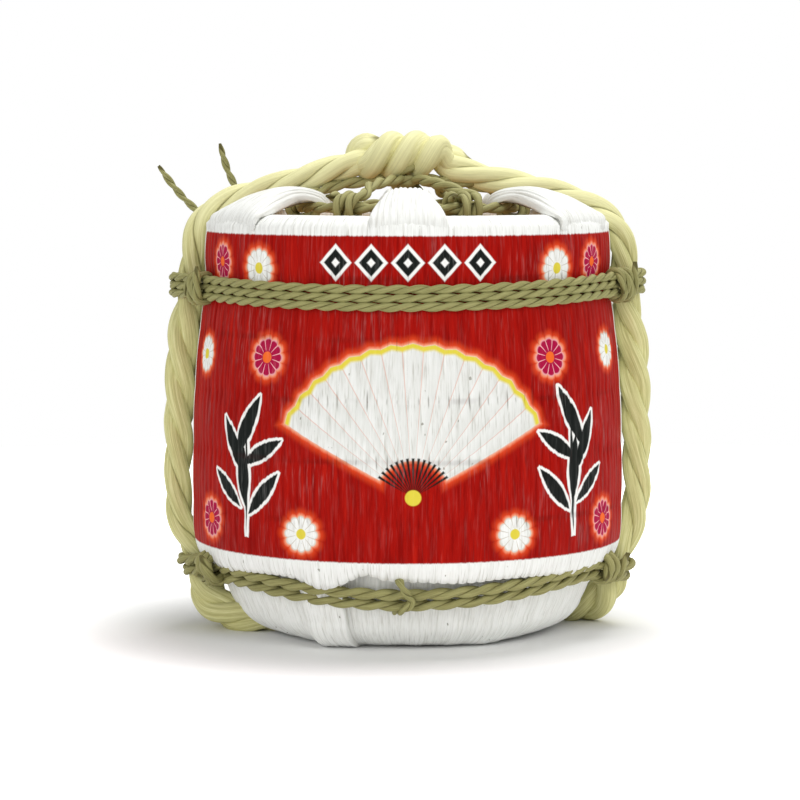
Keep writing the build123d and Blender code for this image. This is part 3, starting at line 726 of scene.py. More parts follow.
def strawRibs():
    # raises bundles of straw on a skin that knows its turn, rise and face
    shape = bundleShape
    net = nodeGroup("strawRibs", {
        "Depth": "Float", "Band": "Float", "Leaf": "Float", "Uneven": "Float", "Seed": "Float",
        "Puff": "Float", "Puff Row": "Float", "Material": "Material",
    })
    given = net.node("NodeGroupInput")
    seed = given.out("Seed")
    uneven = given.out("Uneven")
    leaf = given.out("Leaf")
    turn = named(net, "turn")
    rise = named(net, "rise")
    rows = rise / given.out("Band")
    sway = net.grain(turn, rows, shape["sway"], seed) - 0.5
    turn = turn + sway * uneven * shape["swayShare"]
    plain = (turn * math.pi).sin().abs() ** shape["plainRound"]
    leaves = []
    for shift in (0.5, 1.5):
        lengthways = (rows - shift).wrap(-1.0, 1.0) * (1 / shape["leafHalf"])
        belly = (1.0 - lengthways * lengthways).most(0.0) ** shape["leafRound"]
        across = (turn + shift).wrap(-0.5, 0.5) / (belly * shape["leafHalf"] + shape["leafTip"])
        leaves.append((1.0 - across * across).most(0.0).sqrt() * belly)
    bundle = leaves[0].most(leaves[1]) * leaf + plain * (1.0 - leaf)
    chance = net.chance(turn, rows, seed)
    drift = net.grain(turn, rows, shape["drift"], seed) - 0.5
    height = bundle * (chance * shape["higher"] + shape["lowest"]) + drift * uneven
    fromPuffs = (rise - given.out("Puff Row")) * (1 / shape["puffHalf"])
    puffs = (1.0 - fromPuffs * fromPuffs).most(0.0) * (turn * (shape["puffTurn"] * math.pi)).sin().abs()
    lift = height * given.out("Depth") * named(net, "face") + puffs * given.out("Puff")
    offset = net.scaled(net.node("GeometryNodeInputNormal"), lift)
    ribbed = moved(net, given.out("Geometry"), "Offset", offset)
    # keeps how high each bundle stands, for the painted shade in its valleys
    ribbed = store(net, ribbed, "rib", bundle)
    return finishTree(net, aboveFloor(net, ribbed), given)


ropeTree = twistedRope()
strawTree = strawRibs()


# Lines and ropes
def newPiece(name, made):
    mesh = bpy.data.meshes.new(name)
    made.to_mesh(mesh)
    made.free()
    piece = bpy.data.objects.new(name, mesh)
    bpy.context.scene.collection.objects.link(piece)
    return piece


def linePoints(name, points):
    # a smooth spline through a route, as points
    curve = bpy.data.curves.new(name + "_line", "CURVE")
    curve.dimensions = "3D"
    curve.resolution_u = 14
    spline = curve.splines.new("NURBS")
    spline.points.add(len(points) - 1)
    for control, point in zip(spline.points, points):
        control.co = (*point, 1.0)
    spline.order_u = 3
    spline.use_endpoint_u = True
    holder = bpy.data.objects.new(name + "_line", curve)
    mesh = bpy.data.meshes.new_from_object(holder)
    bpy.data.objects.remove(holder)
    bpy.data.curves.remove(curve)
    return mesh


def layRope(name, routes, diameter, look, *replaced):
    # one piece of rope or twine along one or more routes; look holds strands, lay and finish
    lines = [linePoints(name, route) for route in routes]
    joined = bmesh.new()
    for mesh in lines:
        joined.from_mesh(mesh)
    piece = newPiece(name, joined)
    applyTree(piece, ropeTree, {
        "Strands": look["strands"],
        "Twist": diameter / 2 * (1 - look["strand"]),
        "Strand": diameter / 2 * look["strand"],
        "Lay": look["lay"] * diameter,
        "Step": look["step"] * diameter,
        "Sides": look["sides"],
        "Uneven": look["uneven"],
        "Loose": look["loose"],
        "Point": look["point"],
        "Material": ropeLooks[look["finish"]],
    })
    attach(piece, "barrel")
    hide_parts(*replaced)
    return piece, [vertex.co.copy() for vertex in lines[0].vertices]


# strand is its share of the radius, lay and step are in diameters, point is the length of a pointed end
thickRope = {
    "strands": 3, "strand": 0.55, "lay": -5.0, "step": 0.10, "sides": 20, "uneven": 0.10,
    "loose": 1.0, "point": 0.009, "finish": "rice_rope",
}
fineTwine = {
    "strands": 2, "strand": 0.60, "lay": -4.4, "step": 0.30, "sides": 10, "uneven": 0.08,
    "loose": 0.0, "point": 0.005, "finish": "fine_twine",
}
lacingTwine = {
    "strands": 2, "strand": 0.60, "lay": -4.2, "step": 0.26, "sides": 12, "uneven": 0.08,
    "loose": 0.0, "point": 0.005, "finish": "lacing_twine",
}

# Side profile of the mat, radius and height, shared by what lies on it
mat = {
    "skirt": 0.0865, "knee": 0.075, "hem": 0.036, "kneeHeight": 0.014,
    "profile": [(0.0865, 0.036), (0.092, 0.048), (0.090, 0.100), (0.086, 0.146), (0.086, 0.171)],
    "clearance": 0.0003, "turnGap": 0.0005,
}
baseSlope = (mat["skirt"] - mat["knee"]) / (mat["hem"] - mat["kneeHeight"])
baseStretch = math.hypot(1, baseSlope)


def sideRadius(height):
    for (r0, z0), (r1, z1) in zip(mat["profile"], mat["profile"][1:]):
        if height <= z1:
            return r0 + (r1 - r0) * (height - z0) / (z1 - z0)
    return mat["profile"][-1][0]


def baseRadius(height):
    return mat["skirt"] - baseSlope * (mat["hem"] - height)


# Carry rope: from the knot down each side and under the foot, one length
rope = {"diameter": 0.0123, "standoff": 0.006, "floor": 0.0055, "straight": 0.009, "base": 0.026}
ropeStandoff = rope["standoff"] + mat["clearance"]


def ropeAtBase(side, height):
    return (side * (baseRadius(height) + ropeStandoff * baseStretch), 0, height)


# from the knot over the rim, lower on the right
overRim = {
    -1: [
        (-0.040, 0, 0.1940), (-0.058, 0, 0.1888), (-0.077, 0, 0.1832), (-0.0892, 0, 0.1752),
        (-0.0920, 0, 0.158),
    ],
    1: [
        (0.027, 0, 0.1948), (0.046, 0, 0.1906), (0.065, 0, 0.1862), (0.080, 0, 0.1808),
        (0.0906, 0, 0.172), (0.0934, 0, 0.158),
    ],
}


def ropeSide(side):
    return overRim[side] + [
        (side * 0.0936, 0, 0.139),
        (side * 0.0967, 0, 0.122),
        (side * 0.0981, 0, 0.098),
        (side * 0.0990, 0, 0.074),
        (side * 0.0993, 0, 0.048),
        ropeAtBase(side, rope["base"] + rope["straight"]),
        ropeAtBase(side, rope["base"]),
        (side * 0.0888, side * 0.001, 0.0205),
        (side * 0.0848, side * 0.005, 0.0108),
        (side * 0.0752, side * 0.012, 0.0058),
        (side * 0.066, side * 0.017, rope["floor"]),
        (side * 0.050, side * 0.017, rope["floor"]),
    ]


# its two ends twisted round each other on top
knot = {
    "middle": -0.0012, "height": 0.2030, "lay": 0.0215, "corner": 0.0055,
    "leftTurn": range(-120, 181, 60), "rightTurn": range(60, -481, -60),  # degrees
}


def twistPoint(band, degrees):
    angle = math.radians(degrees)
    return (
        knot["middle"] + knot["lay"] * (band + degrees / 360),
        -knot["corner"] * math.cos(angle),
        knot["height"] + knot["corner"] * math.sin(angle),
    )


leftEnd = [(-0.027, 0, 0.1984), (-0.017, 0.0020, 0.2008)]
leftEnd += [twistPoint(0, degrees) for degrees in knot["leftTurn"]]
leftEnd += [(0.015, 0.0065, 0.2030), (0.021, 0.0075, 0.2012), (0.0285, 0.0085, 0.1975)]
rightEnd = [(0.016, 0.0030, 0.1980)]
rightEnd += [twistPoint(0.5, degrees) for degrees in knot["rightTurn"]]
rightEnd += [(-0.0215, 0.0060, 0.2010), (-0.0205, 0.0055, 0.2062)]
rightEnd += [(-0.0150, 0.0035, 0.2075), (-0.0085, 0.0030, 0.2060)]
ropeRoute = leftEnd[::-1] + ropeSide(-1) + ropeSide(1)[::-1] + rightEnd
knotNodes = ["carry_knot_left_end", "carry_knot_right_end"]
layRope("carryRope", [ropeRoute], rope["diameter"], thickRope, "carry_rope", *knotNodes)
print("carry rope and knot laid")

# Twines wound round the mat, taut over the carry rope on each side and over the knot at the back
bellyKnot = {"direction": 131.0, "radius": 0.09292, "pitch": 0.004, "tall": 2.5, "turns": 2}
belly = {
    "look": fineTwine, "diameter": 0.0040, "pitch": 0.0035, "turns": 3, "middle": 0.146,
    "first": bellyKnot["direction"], "slope": 0.0,
    "sag": (0.0003, 0.0024, 0.0),  # at the front, how much higher at the sides, and the dip over the rope
    # distance from the axis and radius of what each turn goes round, None for the carry rope's own
    "posts": {180.0: (0.0923, 0.00855), 0.0: (0.0923, 0.00855), bellyKnot["direction"]: (0.08292, 0.010)},
    "startShift": 0.6, "endShift": 4.5,  # degrees past the first post
}
base = {
    "look": lacingTwine, "diameter": 0.0051, "pitch": 0.0046, "turns": 2, "middle": 0.026,
    "first": 180.0, "slope": baseSlope,
    "sag": (-0.0016, 0.0087, 0.0090),
    "posts": {180.0: (None, 0.0082), 0.0: (None, 0.0082)},
    "startShift": 8.6, "endShift": 18.0,
}
windingStep = 1.5  # degrees
dipPower = 8  # how closely the dip keeps to the rope


def sag(wound, angle):
    front, sides, dip = wound["sag"]
    sideways = math.cos(math.radians(angle)) ** 2
    return front + sides * sideways - dip * sideways ** dipPower


def windingHeight(wound, angle):
    fromMiddle = (angle - wound["first"]) / 360 - wound["turns"] / 2
    return wound["middle"] + sag(wound, angle) + wound["pitch"] * fromMiddle


def twineTrack(wound, height):
    standoff = mat["clearance"] + wound["diameter"] / 2
    if wound is base:
        return baseRadius(height) + standoff * baseStretch
    return sideRadius(height) + standoff


def postOf(wound, direction, height):
    reach, around = wound["posts"][direction]
    return (reach or ropeAtBase(1, height)[0]), around


def halfAngle(wound, direction, height):
    # from a post to where the twine leaves the mat for it
    reach, around = postOf(wound, direction, height)
    return math.degrees(math.acos((twineTrack(wound, height) - around) / reach))


def tautRadius(wound, angle):
    # on the mat, straight where the twine leaves it, and round each post
    height = windingHeight(wound, angle)
    track = twineTrack(wound, height)
    radius = track
    for direction in wound["posts"]:
        reach, around = postOf(wound, direction, height)
        turnAway = abs((angle - direction + 180) % 360 - 180)
        away = math.radians(turnAway)
        leave = math.radians(halfAngle(wound, direction, height))
        if away >= leave:
            continue
        touch = math.atan2(around * math.sin(leave), reach + around * math.cos(leave))
        if away > touch:
            onPost = track / math.cos(leave - away)
        else:
            onPost = reach * math.cos(away) + math.sqrt(around ** 2 - (reach * math.sin(away)) ** 2)
        radius = max(radius, onPost)
    return radius


def windingRoute(wound):
    start = wound["first"] + wound["startShift"]
    end = wound["first"] + 360 * wound["turns"] + wound["endShift"]
    count = round((end - start) / windingStep)
    angles = [start + (end - start) * index / count for index in range(count + 1)]
    return [polar(tautRadius(wound, angle), angle, windingHeight(wound, angle)) for angle in angles]


layRope("bellyRope", [windingRoute(belly)], belly["diameter"], belly["look"], "belly_rope")
layRope("baseRope", [windingRoute(base)], base["diameter"], base["look"], "base_rope")

# Lashings that draw the turns together beside the carry rope
# shares of a leg, or of half the width or height
coilEnds = {"lead": 0.6, "tuck": 0.4, "out": 1.1, "tuckRise": 0.2, "stand": 0.2}
innerLeg = 3 / 8  # of a turn, from a coil's end to its last leg behind the bundle
lashingEnd = 0.004


def coilRoute(centre, along, outward, up, halfWidth, halfHeight, turns, pitch, end):
    # square turns, four legs each, from a tucked start to a short end that stands up
    signs = [(1, 1), (-1, 1), (-1, -1), (1, -1)]
    legs = 4 * turns

    def corner(leg, out, rise):
        shift = pitch * ((leg + 0.5) / 4 - turns / 2)
        return centre + outward * halfWidth * out + up * halfHeight * rise + along * shift

    route = [corner(-coilEnds["lead"], 1, -coilEnds["lead"])]
    route += [corner(leg, *signs[leg % 4]) for leg in range(legs)]
    route.append(corner(legs - coilEnds["tuck"], coilEnds["out"], coilEnds["tuckRise"]))
    route.append(corner(legs - coilEnds["stand"], coilEnds["out"], 1 + end / halfHeight))
    return route


lashings = {
    # node, winding, side, turns drawn in, wraps, shift along the run, share of the height
    "waistLashingLeft": ("waist_lashing_left", belly, 180.0, 3, 3, 0.0140, 0.78),
    "waistLashingRight": ("waist_lashing_right", belly, 0.0, 3, 3, 0.0090, 0.82),
    "baseLashingLeft": ("base_lashing_left", base, 180.0, 3, 2, 0.0235, 0.50),
    "baseLashingRight": ("base_lashing_right", base, 0.0, 2, 2, 0.0190, 0.70),
}
for name, (node, wound, direction, bundle, turns, shift, tall) in lashings.items():
    twine = wound["diameter"]
    pitch = wound["pitch"]
    slope = wound["slope"]
    towardsFront = 1 if direction == 180.0 else -1
    facing = direction + towardsFront * halfAngle(wound, direction, wound["middle"])
    share = (facing - wound["first"]) % 360 / 360
    height = wound["middle"] + sag(wound, facing) + pitch * (share + (bundle - 1 - wound["turns"]) / 2)
    reach, around = postOf(wound, direction, height)
    facing = direction + towardsFront * halfAngle(wound, direction, height)
    outward = polar(1, facing)
    along = polar(1, facing + 90)
    halfWidth = twine + mat["clearance"]
    halfHeight = pitch * (bundle + 1) / 2 * math.hypot(1, slope) * tall
    beside = math.sqrt(around ** 2 - (around - halfWidth) ** 2) + (turns / 2 - innerLeg) * pitch + shift
    centre = polar(reach, direction, height) + outward * around + along * towardsFront * beside
    route = coilRoute(
        centre, along, (outward - upward * slope).normalized(), (outward * slope + upward).normalized(),
        halfWidth, halfHeight, turns, pitch, lashingEnd,
    )
    layRope(name, [route], twine, wound["look"], node)

# Knot of the belly twine at the back, and its two free ends
knotFacing = bellyKnot["direction"]
knotPitch = bellyKnot["pitch"]
knotRoute = coilRoute(
    polar(bellyKnot["radius"], knotFacing, belly["middle"] + sag(belly, knotFacing)),
    polar(1, knotFacing + 90), polar(1, knotFacing), upward,
    knotPitch, knotPitch * bellyKnot["tall"], bellyKnot["turns"], knotPitch, lashingEnd,
)
layRope("bellyKnot", [knotRoute], belly["diameter"], fineTwine, "belly_knot")
tailDiameter = 0.0035
tails = {
    "twineTailLong": ("twine_tail_long", 0.0657, [
        polar(bellyKnot["radius"], 132.5, 0.1598), (-0.072, 0.074, 0.164), (-0.086, 0.073, 0.170),
        (-0.098, 0.070, 0.180), (-0.106, 0.067, 0.189), (-0.112, 0.065, 0.198),
    ]),
    "twineTailShort": ("twine_tail_short", 0.0592, [
        polar(bellyKnot["radius"], 128.5, 0.1598), (-0.063, 0.077, 0.167), (-0.071, 0.073, 0.178),
        (-0.078, 0.066, 0.189), (-0.082, 0.062, 0.199), (-0.084, 0.060, 0.208),
    ]),
}
for name, (node, length, route) in tails.items():
    tail, path = layRope(name, [route], tailDiameter, fineTwine, node)

# Stitch that holds the base twine to the front flap: across distance, height and lift off the flap
stitchDiameter = 0.0036
stitch = [
    (-0.0042, 0.0345, -0.003), (-0.0036, 0.0318, 0.0062), (-0.0012, 0.0278, 0.0082), (0.0018, 0.0240, 0.0050),
    (0.0008, 0.0212, 0.0078), (-0.0034, 0.0186, 0.0066), (-0.0062, 0.0172, -0.003),
]
stitchRoute = []
for sideways, height, off in stitch:
    reach = baseRadius(height) + off * baseStretch
    stitchRoute.append(Vector((sideways, -math.sqrt(reach ** 2 - sideways ** 2), height)))
layRope("frontStitch", [stitchRoute], stitchDiameter, fineTwine, "front_stitch")

# Lacing drawn through the folds of the flaps, with ties to a knot in the middle
lacing = {
    "diameter": 0.0050, "spare": 0.0001, "flaps": 6, "start": 60,
    "height": 0.1810, "ring": 0.048, "frontRing": 0.0555, "frontFrom": -0.4,  # sine of the direction
    "foot": 0.046, "footHeight": 0.0141,
    "gatherRise": 0.0070, "gatherTurns": 2, "gatherStep": 60,
    "ties": (60, 180, 240, 300, 360), "tieRise": 0.0118, "tieTurns": 3,
    "tieBend": (0.72, 0.75), "tieTip": 0.3,  # shares of the way out and of the rise, and of the knot's reach
}
lacingPitch = lacing["diameter"] + lacing["spare"]
flapPitch = 360 / lacing["flaps"]


def lacingLoop(radius, frontRadius, height):
    # round under the flaps, wider at the front where it shows, closing beside its start
    start = lacing["start"]
    corners = []
    for index in range(lacing["flaps"]):
        degrees = start + flapPitch * (index + 0.5)
        atFront = math.sin(math.radians(degrees)) < lacing["frontFrom"]
        corners.append(polar(frontRadius if atFront else radius, degrees, height))
    window = radius * math.cos(math.radians(flapPitch / 2))
    opening = math.degrees(mat["turnGap"] / window)
    return [polar(window, start + opening, height), *corners, polar(window, start - opening, height)]


def layLacing(name, routes, node):
    layRope(name, routes, lacing["diameter"], lacingTwine, node)


topLoop = lacingLoop(lacing["ring"], lacing["frontRing"], lacing["height"])
layLacing("topLacing", [topLoop], "top_lacing")
layLacing("baseLacing", [lacingLoop(lacing["foot"], lacing["foot"], lacing["footHeight"])], "base_lacing")
gatherCorner = lacingPitch / math.cos(math.radians(lacing["gatherStep"] / 2))
gather = [
    polar(gatherCorner, degrees, lacing["height"] + lacing["gatherRise"] + lacingPitch * degrees / 360)
    for degrees in range(0, 360 * lacing["gatherTurns"] + 1, lacing["gatherStep"])
]
layLacing("lacingKnot", [gather], "lacing_knot")
tieEnd = gatherCorner + lacing["diameter"] / 2 + mat["clearance"]
tieRoutes = []
for direction in lacing["ties"]:
    corner = int((direction - lacing["start"]) / flapPitch) % lacing["flaps"]
    before = topLoop[corner] if corner else topLoop[-2]
    after = topLoop[corner + 1]
    middle = (before + after) / 2
    along = (after - before).normalized()
    hitch = coilRoute(
        middle, along, along.cross(upward), upward,
        lacingPitch, lacingPitch, lacing["tieTurns"], lacingPitch + mat["turnGap"], 0,
    )
    bendOut, bendRise = lacing["tieBend"]
    climb = [(middle.xy.length * bendOut, bendRise), (tieEnd, 1.0), (tieEnd * lacing["tieTip"], 1.0)]
    rise = lacing["tieRise"]
    route = hitch[1:-4]
    route += [polar(reach, direction, lacing["height"] + rise * share) for reach, share in climb]
    tieRoutes.append(route)
layLacing("lacingTies", tieRoutes, "lacing_ties")
print("twines, lashings and lacing laid")


# Straw skins
def smoothProfile(points, count, steps=12):
    # evenly spaced points of a smooth line through a given profile, each with its way along
    spots = [Vector((r, 0, z)) for r, z in points]
    ends = [spots[0] * 2 - spots[1]] + spots + [spots[-1] * 2 - spots[-2]]
    fine = []
    for a, b, c, d in zip(ends, ends[1:], ends[2:], ends[3:]):
        square = a * 2 - b * 5 + c * 4 - d
        cube = b * 3 - a - c * 3 + d
        for index in range(steps):
            t = index / steps
            fine.append((b * 2 + (c - a) * t + square * t ** 2 + cube * t ** 3) / 2)
    fine.append(spots[-1])
    reach = [0.0]
    for a, b in zip(fine, fine[1:]):
        reach.append(reach[-1] + (b - a).length)
    spaced = []
    slot = 0
    for index in range(count):
        want = reach[-1] * index / (count - 1)
        while slot < len(fine) - 2 and reach[slot + 1] < want:
            slot += 1
        share = (want - reach[slot]) / (reach[slot + 1] - reach[slot])
        spot = fine[slot].lerp(fine[slot + 1], share)
        spaced.append((spot.x, spot.z, want))
    return spaced


def loftSkin(name, stations, closed):
    # stations of (point, turn, rise, face) loops, joined side by side into one closed skin
    size = len(stations[0])
    made = bmesh.new()
    layers = [made.verts.layers.float.new(key) for key in ("turn", "rise", "face")]
    rows = []
    for station in stations:
        row = []
        for point, *values in station:
            vert = made.verts.new(point)
            for layer, value in zip(layers, values):
                vert[layer] = value
            row.append(vert)
        rows.append(row)
    pairs = list(zip(rows, rows[1:]))
    if closed:
        pairs.append((rows[-1], rows[0]))
    for near, far in pairs:
        for index in range(size):
            after = (index + 1) % size
            made.faces.new((near[index], near[after], far[after], far[index]))
    if not closed:
        made.faces.new(rows[0][::-1])
        made.faces.new(rows[-1])
    bmesh.ops.recalc_face_normals(made, faces=made.faces)
    return newPiece(name, made)


def dressSkin(piece, look, finish, node):
    applyTree(piece, strawTree, {
        "Depth": look["depth"], "Band": look["band"], "Leaf": look["leaf"], "Uneven": look["uneven"],
        "Seed": look["seed"], "Puff": look["puff"], "Puff Row": look["puffRow"], "Material": finish,
    })
    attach(piece, "barrel")
    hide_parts(node)


# radius and height; face is 1 where the bundles stand to their full depth
sideSkin = {
    "outer": [
        (0.0858, 0.0322), (0.0883, 0.0320), (0.0902, 0.0355), (0.0913, 0.0405), (0.0918, 0.049),
        (0.0918, 0.068), (0.0915, 0.087), (0.0907, 0.106), (0.0885, 0.130), (0.0862, 0.147), (0.0862, 0.160),
        (0.0857, 0.169), (0.0848, 0.1735), (0.0825, 0.1768), (0.0785, 0.1783), (0.0725, 0.1783),
    ],
    "inner": [
        (0.0725, 0.1750), (0.0785, 0.1745), (0.0815, 0.171), (0.0820, 0.146), (0.0860, 0.100),
        (0.0880, 0.048), (0.0850, 0.036),
    ],
    "bundles": 138, "columns": 6, "rows": 68, "innerRows": 12,
    "hem": 0.0320, "hemReach": 0.016,
    # where the cut edge hangs lower over the base twine: degrees from the front, spread and depth
    "hemDips": [
        (-23, 6, 0.0042), (-11, 4, -0.0022), (14, 10, 0.0010), (52, 12, 0.0014), (-58, 9, 0.0012),
        (130, 14, 0.0016), (215, 16, 0.0012),
    ],
    "rim": 0.1745, "rimOver": 0.003, "rimFlatter": 0.65,
    "depth": 0.0008, "band": 0.0245, "firstRow": 0.0065, "leaf": 1.0, "uneven": 0.35, "seed": 3.0,
    "puff": 0.0009, "puffRow": 0.1672,
}


def hemDrop(degrees, height):
    near = max(0.0, 1 - (height - sideSkin["hem"]) / sideSkin["hemReach"])
    total = 0.0
    for middle, spread, depth in sideSkin["hemDips"]:
        away = (degrees - middle + 180) % 360 - 180
        total += depth * math.exp(-(away / spread) ** 2)
    return total * near ** 2


sideRings = smoothProfile(sideSkin["outer"], sideSkin["rows"])
innerRings = smoothProfile(sideSkin["inner"], sideSkin["innerRows"])
sideStations = []
sideCount = sideSkin["bundles"] * sideSkin["columns"]
for index in range(sideCount):
    turn = index / sideSkin["columns"]
    degrees = 360 * index / sideCount
    station = []
    for ring, (radius, height, _) in enumerate(sideRings):
        point = polar(radius, frontward + degrees, height - hemDrop(degrees, height))
        onRim = clamped((height - sideSkin["rim"]) / sideSkin["rimOver"])
        face = 0.0 if ring == 0 else 1.0 - sideSkin["rimFlatter"] * onRim
        station.append((point, turn, height - sideSkin["firstRow"], face))
    for radius, height, _ in innerRings:
        point = polar(radius, frontward + degrees, height)
        station.append((point, turn, height - sideSkin["firstRow"], 0.0))
    sideStations.append(station)
sideMat = loftSkin("sideMat", sideStations, closed=True)
dressSkin(sideMat, sideSkin, strawPrinted, "side_mat")

# Flaps folded under the foot
footSkin = {
    "outer": [(0.0795, 0.0385), (0.0806, 0.034), (0.0798, 0.0265), (0.0768, 0.0175), (0.0742, 0.012)],
    "flat": 0.050, "flatRound": 0.8, "centre": 0.014, "wall": 0.0036, "wallRise": 0.8, "floor": 0.0005,
    "ribs": 36, "columns": 5, "wallRows": 22, "footRows": 20, "under": 8, "innerEvery": 3,
    # degrees that a flap starts in from its side and runs past the other, and where it lifts over the next
    "inset": 0.2, "past": 1.0, "overlap": {2: 11.0, 5: 11.0}, "foldOver": 6.0,
    "lift": 0.0042, "corner": 0.0062, "wave": 0.0004, "wavePace": 0.5,
    "depth": 0.0005, "band": 0.05, "leaf": 0.0, "uneven": 0.5, "seed": 11.0, "puff": 0.0, "puffRow": 0.0,
}


def footRing(degrees, share):
    # from the knee's circle down to the straight side of the foot
    kneeR, kneeZ = footSkin["outer"][-1]
    fold = (degrees + flapPitch / 2) % flapPitch - flapPitch / 2
    flat = footSkin["flat"] / math.cos(math.radians(fold))
    quarter = share * math.pi / 2
    radius = kneeR + (flat - kneeR) * (1 - math.cos(quarter)) ** footSkin["flatRound"]
    return radius, kneeZ * (1 - math.sin(quarter))


def footProfile(degrees, lift, fold):
    # down the wall, round the knee and in under the foot
    outer = [(radius + lift, height) for radius, height, _ in wallRings[:-1]]
    for row in range(footSkin["footRows"] + 1):
        share = row / footSkin["footRows"]
        radius, height = footRing(degrees, share)
        outer.append((radius + lift + (footSkin["corner"] - footSkin["lift"]) * fold * share, height))
    flatReach = outer[-1][0]
    for row in range(1, footSkin["under"] + 1):
        outer.append((flatReach + (footSkin["centre"] - flatReach) * row / footSkin["under"], 0.0))
    return outer


wallRings = smoothProfile(footSkin["outer"], footSkin["wallRows"])
half = flapPitch / 2
for flap in range(lacing["flaps"]):
    direction = frontward + flap * flapPitch
    overlap = footSkin["overlap"].get(flap, footSkin["past"])
    count = footSkin["ribs"] * footSkin["columns"]
    stations = []
    for index in range(count + 1):
        degrees = -half + footSkin["inset"] + (2 * half + overlap) * index / count
        turn = index / footSkin["columns"]
        fold = 0.0
        if flap in footSkin["overlap"]:
            fold = eased((degrees - half + footSkin["foldOver"]) / footSkin["foldOver"])
        wave = footSkin["wave"] * math.sin(degrees * footSkin["wavePace"] + flap)
        outer = footProfile(degrees, footSkin["lift"] * fold + wave, fold)
        station = []
        reach = 0.0
        for place, (radius, height) in enumerate(outer):
            if place:
                reach += math.hypot(radius - outer[place - 1][0], height - outer[place - 1][1])
            face = 0.0 if height < footSkin["floor"] or place == 0 else 1.0
            station.append((polar(radius, direction + degrees, height), turn, reach, face))
        for radius, height in reversed(outer[::footSkin["innerEvery"]]):
            radius = max(radius - footSkin["wall"], footSkin["centre"])
            height += footSkin["wall"] * footSkin["wallRise"]
            station.append((polar(radius, direction + degrees, height), turn, reach, 0.0))
        stations.append(station)
    footFlap = loftSkin(f"baseFlap{flap + 1}", stations, closed=False)
    footSkin["seed"] += 1.0
    dressSkin(footFlap, footSkin, strawFoot, f"base_flap_{flap + 1}")

# Flaps folded over the mouth, two narrow and four broad
topSkin = {
    "outer": [
        (0.0845, 0.1722), (0.0836, 0.1770), (0.0800, 0.1812), (0.0715, 0.1862), (0.0610, 0.1890),
        (0.0505, 0.1886), (0.0430, 0.1862), (0.0398, 0.1822),
    ],
    # width, share of it at the tip, and how far the edges stay up there
    "narrow": (0.0300, 0.72, 0.2), "broad": (0.040, 0.36, 0.6),
    "narrowFrom": 0.10, "narrowOver": 0.62,  # shares of the way in
    "tipRound": 0.005, "tipFrom": 0.55, "tipPower": 4, "lip": 0.1776, "boxy": 2.6, "smoothRise": 0.003,
    "wall": 0.0036, "thinnest": 0.15, "thickFrom": 0.012, "underIn": 0.0008, "underNarrow": 0.97,
    "pitch": 0.0026, "columns": 7, "rows": 34, "underRows": 14,
    "depth": 0.0008, "band": 0.05, "leaf": 0.0, "uneven": 0.7, "seed": 31.0, "puff": 0.0, "puffRow": 0.0,
}
topRings = smoothProfile(topSkin["outer"], topSkin["rows"])
topReach = topRings[-1][2]


def topProfile(side, crown, width, tip, edgeLift):
    # one line up and over a flap: distance out, distance sideways, height and way along
    upper = []
    for radius, height, rise in topRings:
        inward = rise / topReach
        narrowing = clamped((inward - topSkin["narrowFrom"]) / topSkin["narrowOver"])
        taper = 1 - (1 - tip) * eased(narrowing)
        nearTip = max(0.0, inward - topSkin["tipFrom"]) / (1 - topSkin["tipFrom"])
        roundTip = topSkin["tipRound"] * nearTip * abs(side) ** topSkin["tipPower"]
        above = max(0.0, height - topSkin["lip"]) * (1 - edgeLift * narrowing)
        upper.append((radius + roundTip, side * width / 2 * taper, height - above * (1 - crown), rise))
    return upper


for flap in range(lacing["flaps"]):
    direction = frontward + flap * flapPitch
    width, tip, edgeLift = topSkin["narrow" if flap % 3 == 0 else "broad"]
    outward = polar(1, direction)
    across = polar(1, direction + 90)
    count = round(width / topSkin["pitch"]) * topSkin["columns"]
    stations = []
    for index in range(count + 1):
        side = math.sin((index / count - 0.5) * math.pi)  # closer columns towards the edges
        turn = width / topSkin["pitch"] * side / 2
        crown = (1 - abs(side) ** topSkin["boxy"]) ** (1 / topSkin["boxy"]) if abs(side) < 1 else 0.0
        upper = topProfile(side, crown, width, tip, edgeLift)
        station = []
        for radius, sideways, height, rise in upper:
            spot = outward * radius + across * sideways + upward * height
            station.append((spot, turn, rise, 0.0 if rise < topSkin["smoothRise"] else 1.0))
        thinnest = topSkin["thinnest"]
        for place in range(topSkin["underRows"]):
            pickAt = round((len(upper) - 1) * (1 - place / (topSkin["underRows"] - 1)))
            radius, sideways, height, rise = upper[pickAt]
            sunk = topSkin["wall"] * (thinnest + (1 - thinnest) * crown)
            sunk *= min(1.0, thinnest + rise / topSkin["thickFrom"])
            spot = outward * (radius - topSkin["underIn"]) + across * sideways * topSkin["underNarrow"]
            station.append((spot + upward * (height - sunk), turn, rise, 0.0))
        stations.append(station)
    topFlap = loftSkin(f"topFlap{flap + 1}", stations, closed=False)
    topSkin["seed"] += 1.0
    dressSkin(topFlap, topSkin, strawTop, f"top_flap_{flap + 1}")
print("straw mat and flaps made")


# Camera, at the photograph's place
def aimed(name, data, place, target):
    holder = bpy.data.objects.new(name, data)
    holder.location = place
    holder.rotation_euler = (Vector(target) - Vector(place)).to_track_quat("-Z", "Y").to_euler()
    bpy.context.scene.collection.objects.link(holder)
    return holder


view = {"place": (-0.0032, -1.251, 0.2045), "target": (-0.0032, 0.0, 0.0976), "lens": 130.95, "sensor": 36.0}
lens = bpy.data.cameras.new("camera")
lens.lens = view["lens"]
lens.sensor_width = view["sensor"]
bpy.context.scene.camera = aimed("camera", lens, view["place"], view["target"])

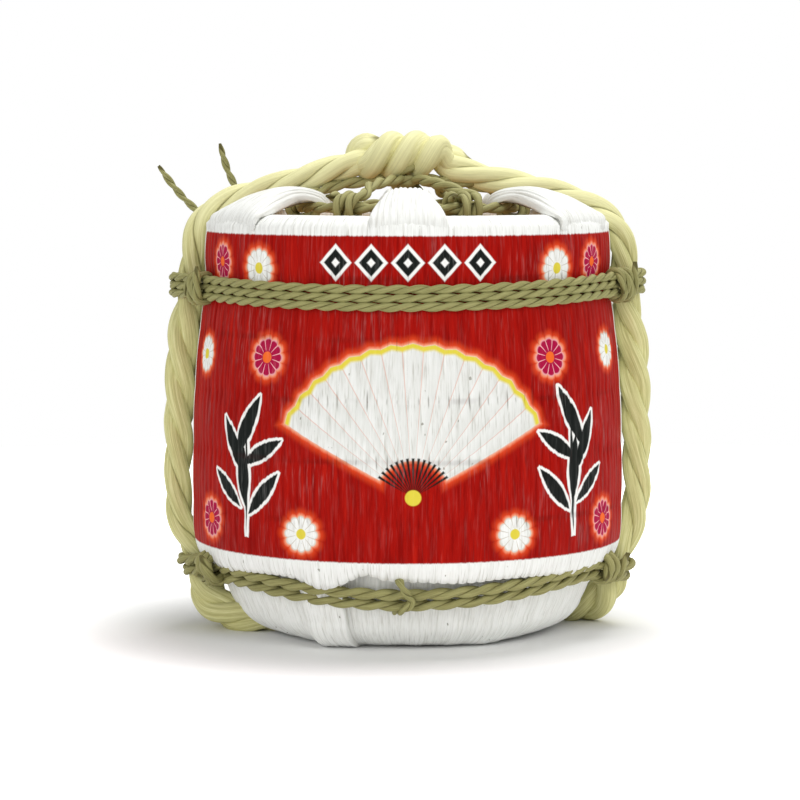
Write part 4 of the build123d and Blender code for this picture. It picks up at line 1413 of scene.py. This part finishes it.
# Floor, light and backdrop
studio = {
    "floor": 0.8, "floorSides": 96, "floorColour": (0.98, 0.98, 0.98, 1), "ambient": 0.52,
    "floorNear": (0.80, 0.80, 0.795, 1), "floorFar": (1.7, 1.7, 1.7, 1), "nearFar": (0.085, 0.22),
    "aim": (0, 0, 0.1),
    # place, size and power of each lamp
    "lamps": {
        "keyLight": ((0.55, -1.0, 0.95), 0.7, 5.5),
        "fillLight": ((-0.8, -1.1, 0.55), 0.8, 4.0),
        "topLight": ((0.30, 0.28, 1.25), 0.9, 10.5),
    },
}
for name, (place, size, power) in studio["lamps"].items():
    lamp = bpy.data.lights.new(name, "AREA")
    lamp.shape = "DISK"
    lamp.size = size
    lamp.energy = power
    aimed(name, lamp, place, studio["aim"])


def seenRays(net):
    # 1 where the eye or a reflection meets the backdrop, 0 for the light that it throws back
    rays = net.node("ShaderNodeLightPath")
    return rays.out("Is Camera Ray").most(rays.out("Is Glossy Ray")).most(rays.out("Is Transmission Ray"))


sides = range(studio["floorSides"])
floorMesh = bpy.data.meshes.new("floor")
floorMesh.from_pydata([polar(studio["floor"], 360 * step / len(sides)) for step in sides], [], [tuple(sides)])
floor = bpy.data.objects.new("floor", floorMesh)
bpy.context.scene.collection.objects.link(floor)
floorLook, net = material("floor")
away = net.vector("LENGTH", objectPlace(net)).out("Value")
floorSeen = net.blend(away.fade(*studio["nearFar"]), studio["floorNear"], studio["floorFar"])
floorPaint = net.blend(seenRays(net), studio["floorColour"], floorSeen)
matte = net.node("ShaderNodeBsdfDiffuse", {"Color": floorPaint})
net.node("ShaderNodeOutputMaterial", {"Surface": matte})
floorMesh.materials.append(floorLook)

world = bpy.data.worlds.new("studio")
bpy.context.scene.world = world
world.use_nodes = True
world.node_tree.nodes.clear()
net = Net(world.node_tree)
strength = seenRays(net) * (1.0 - studio["ambient"]) + studio["ambient"]
sky = net.node("ShaderNodeBackground", {"Color": (1, 1, 1, 1), "Strength": strength})
net.node("ShaderNodeOutputWorld", {"Surface": sky})
bpy.context.scene.view_settings.view_transform = "Standard"
print("camera, floor and lights placed")
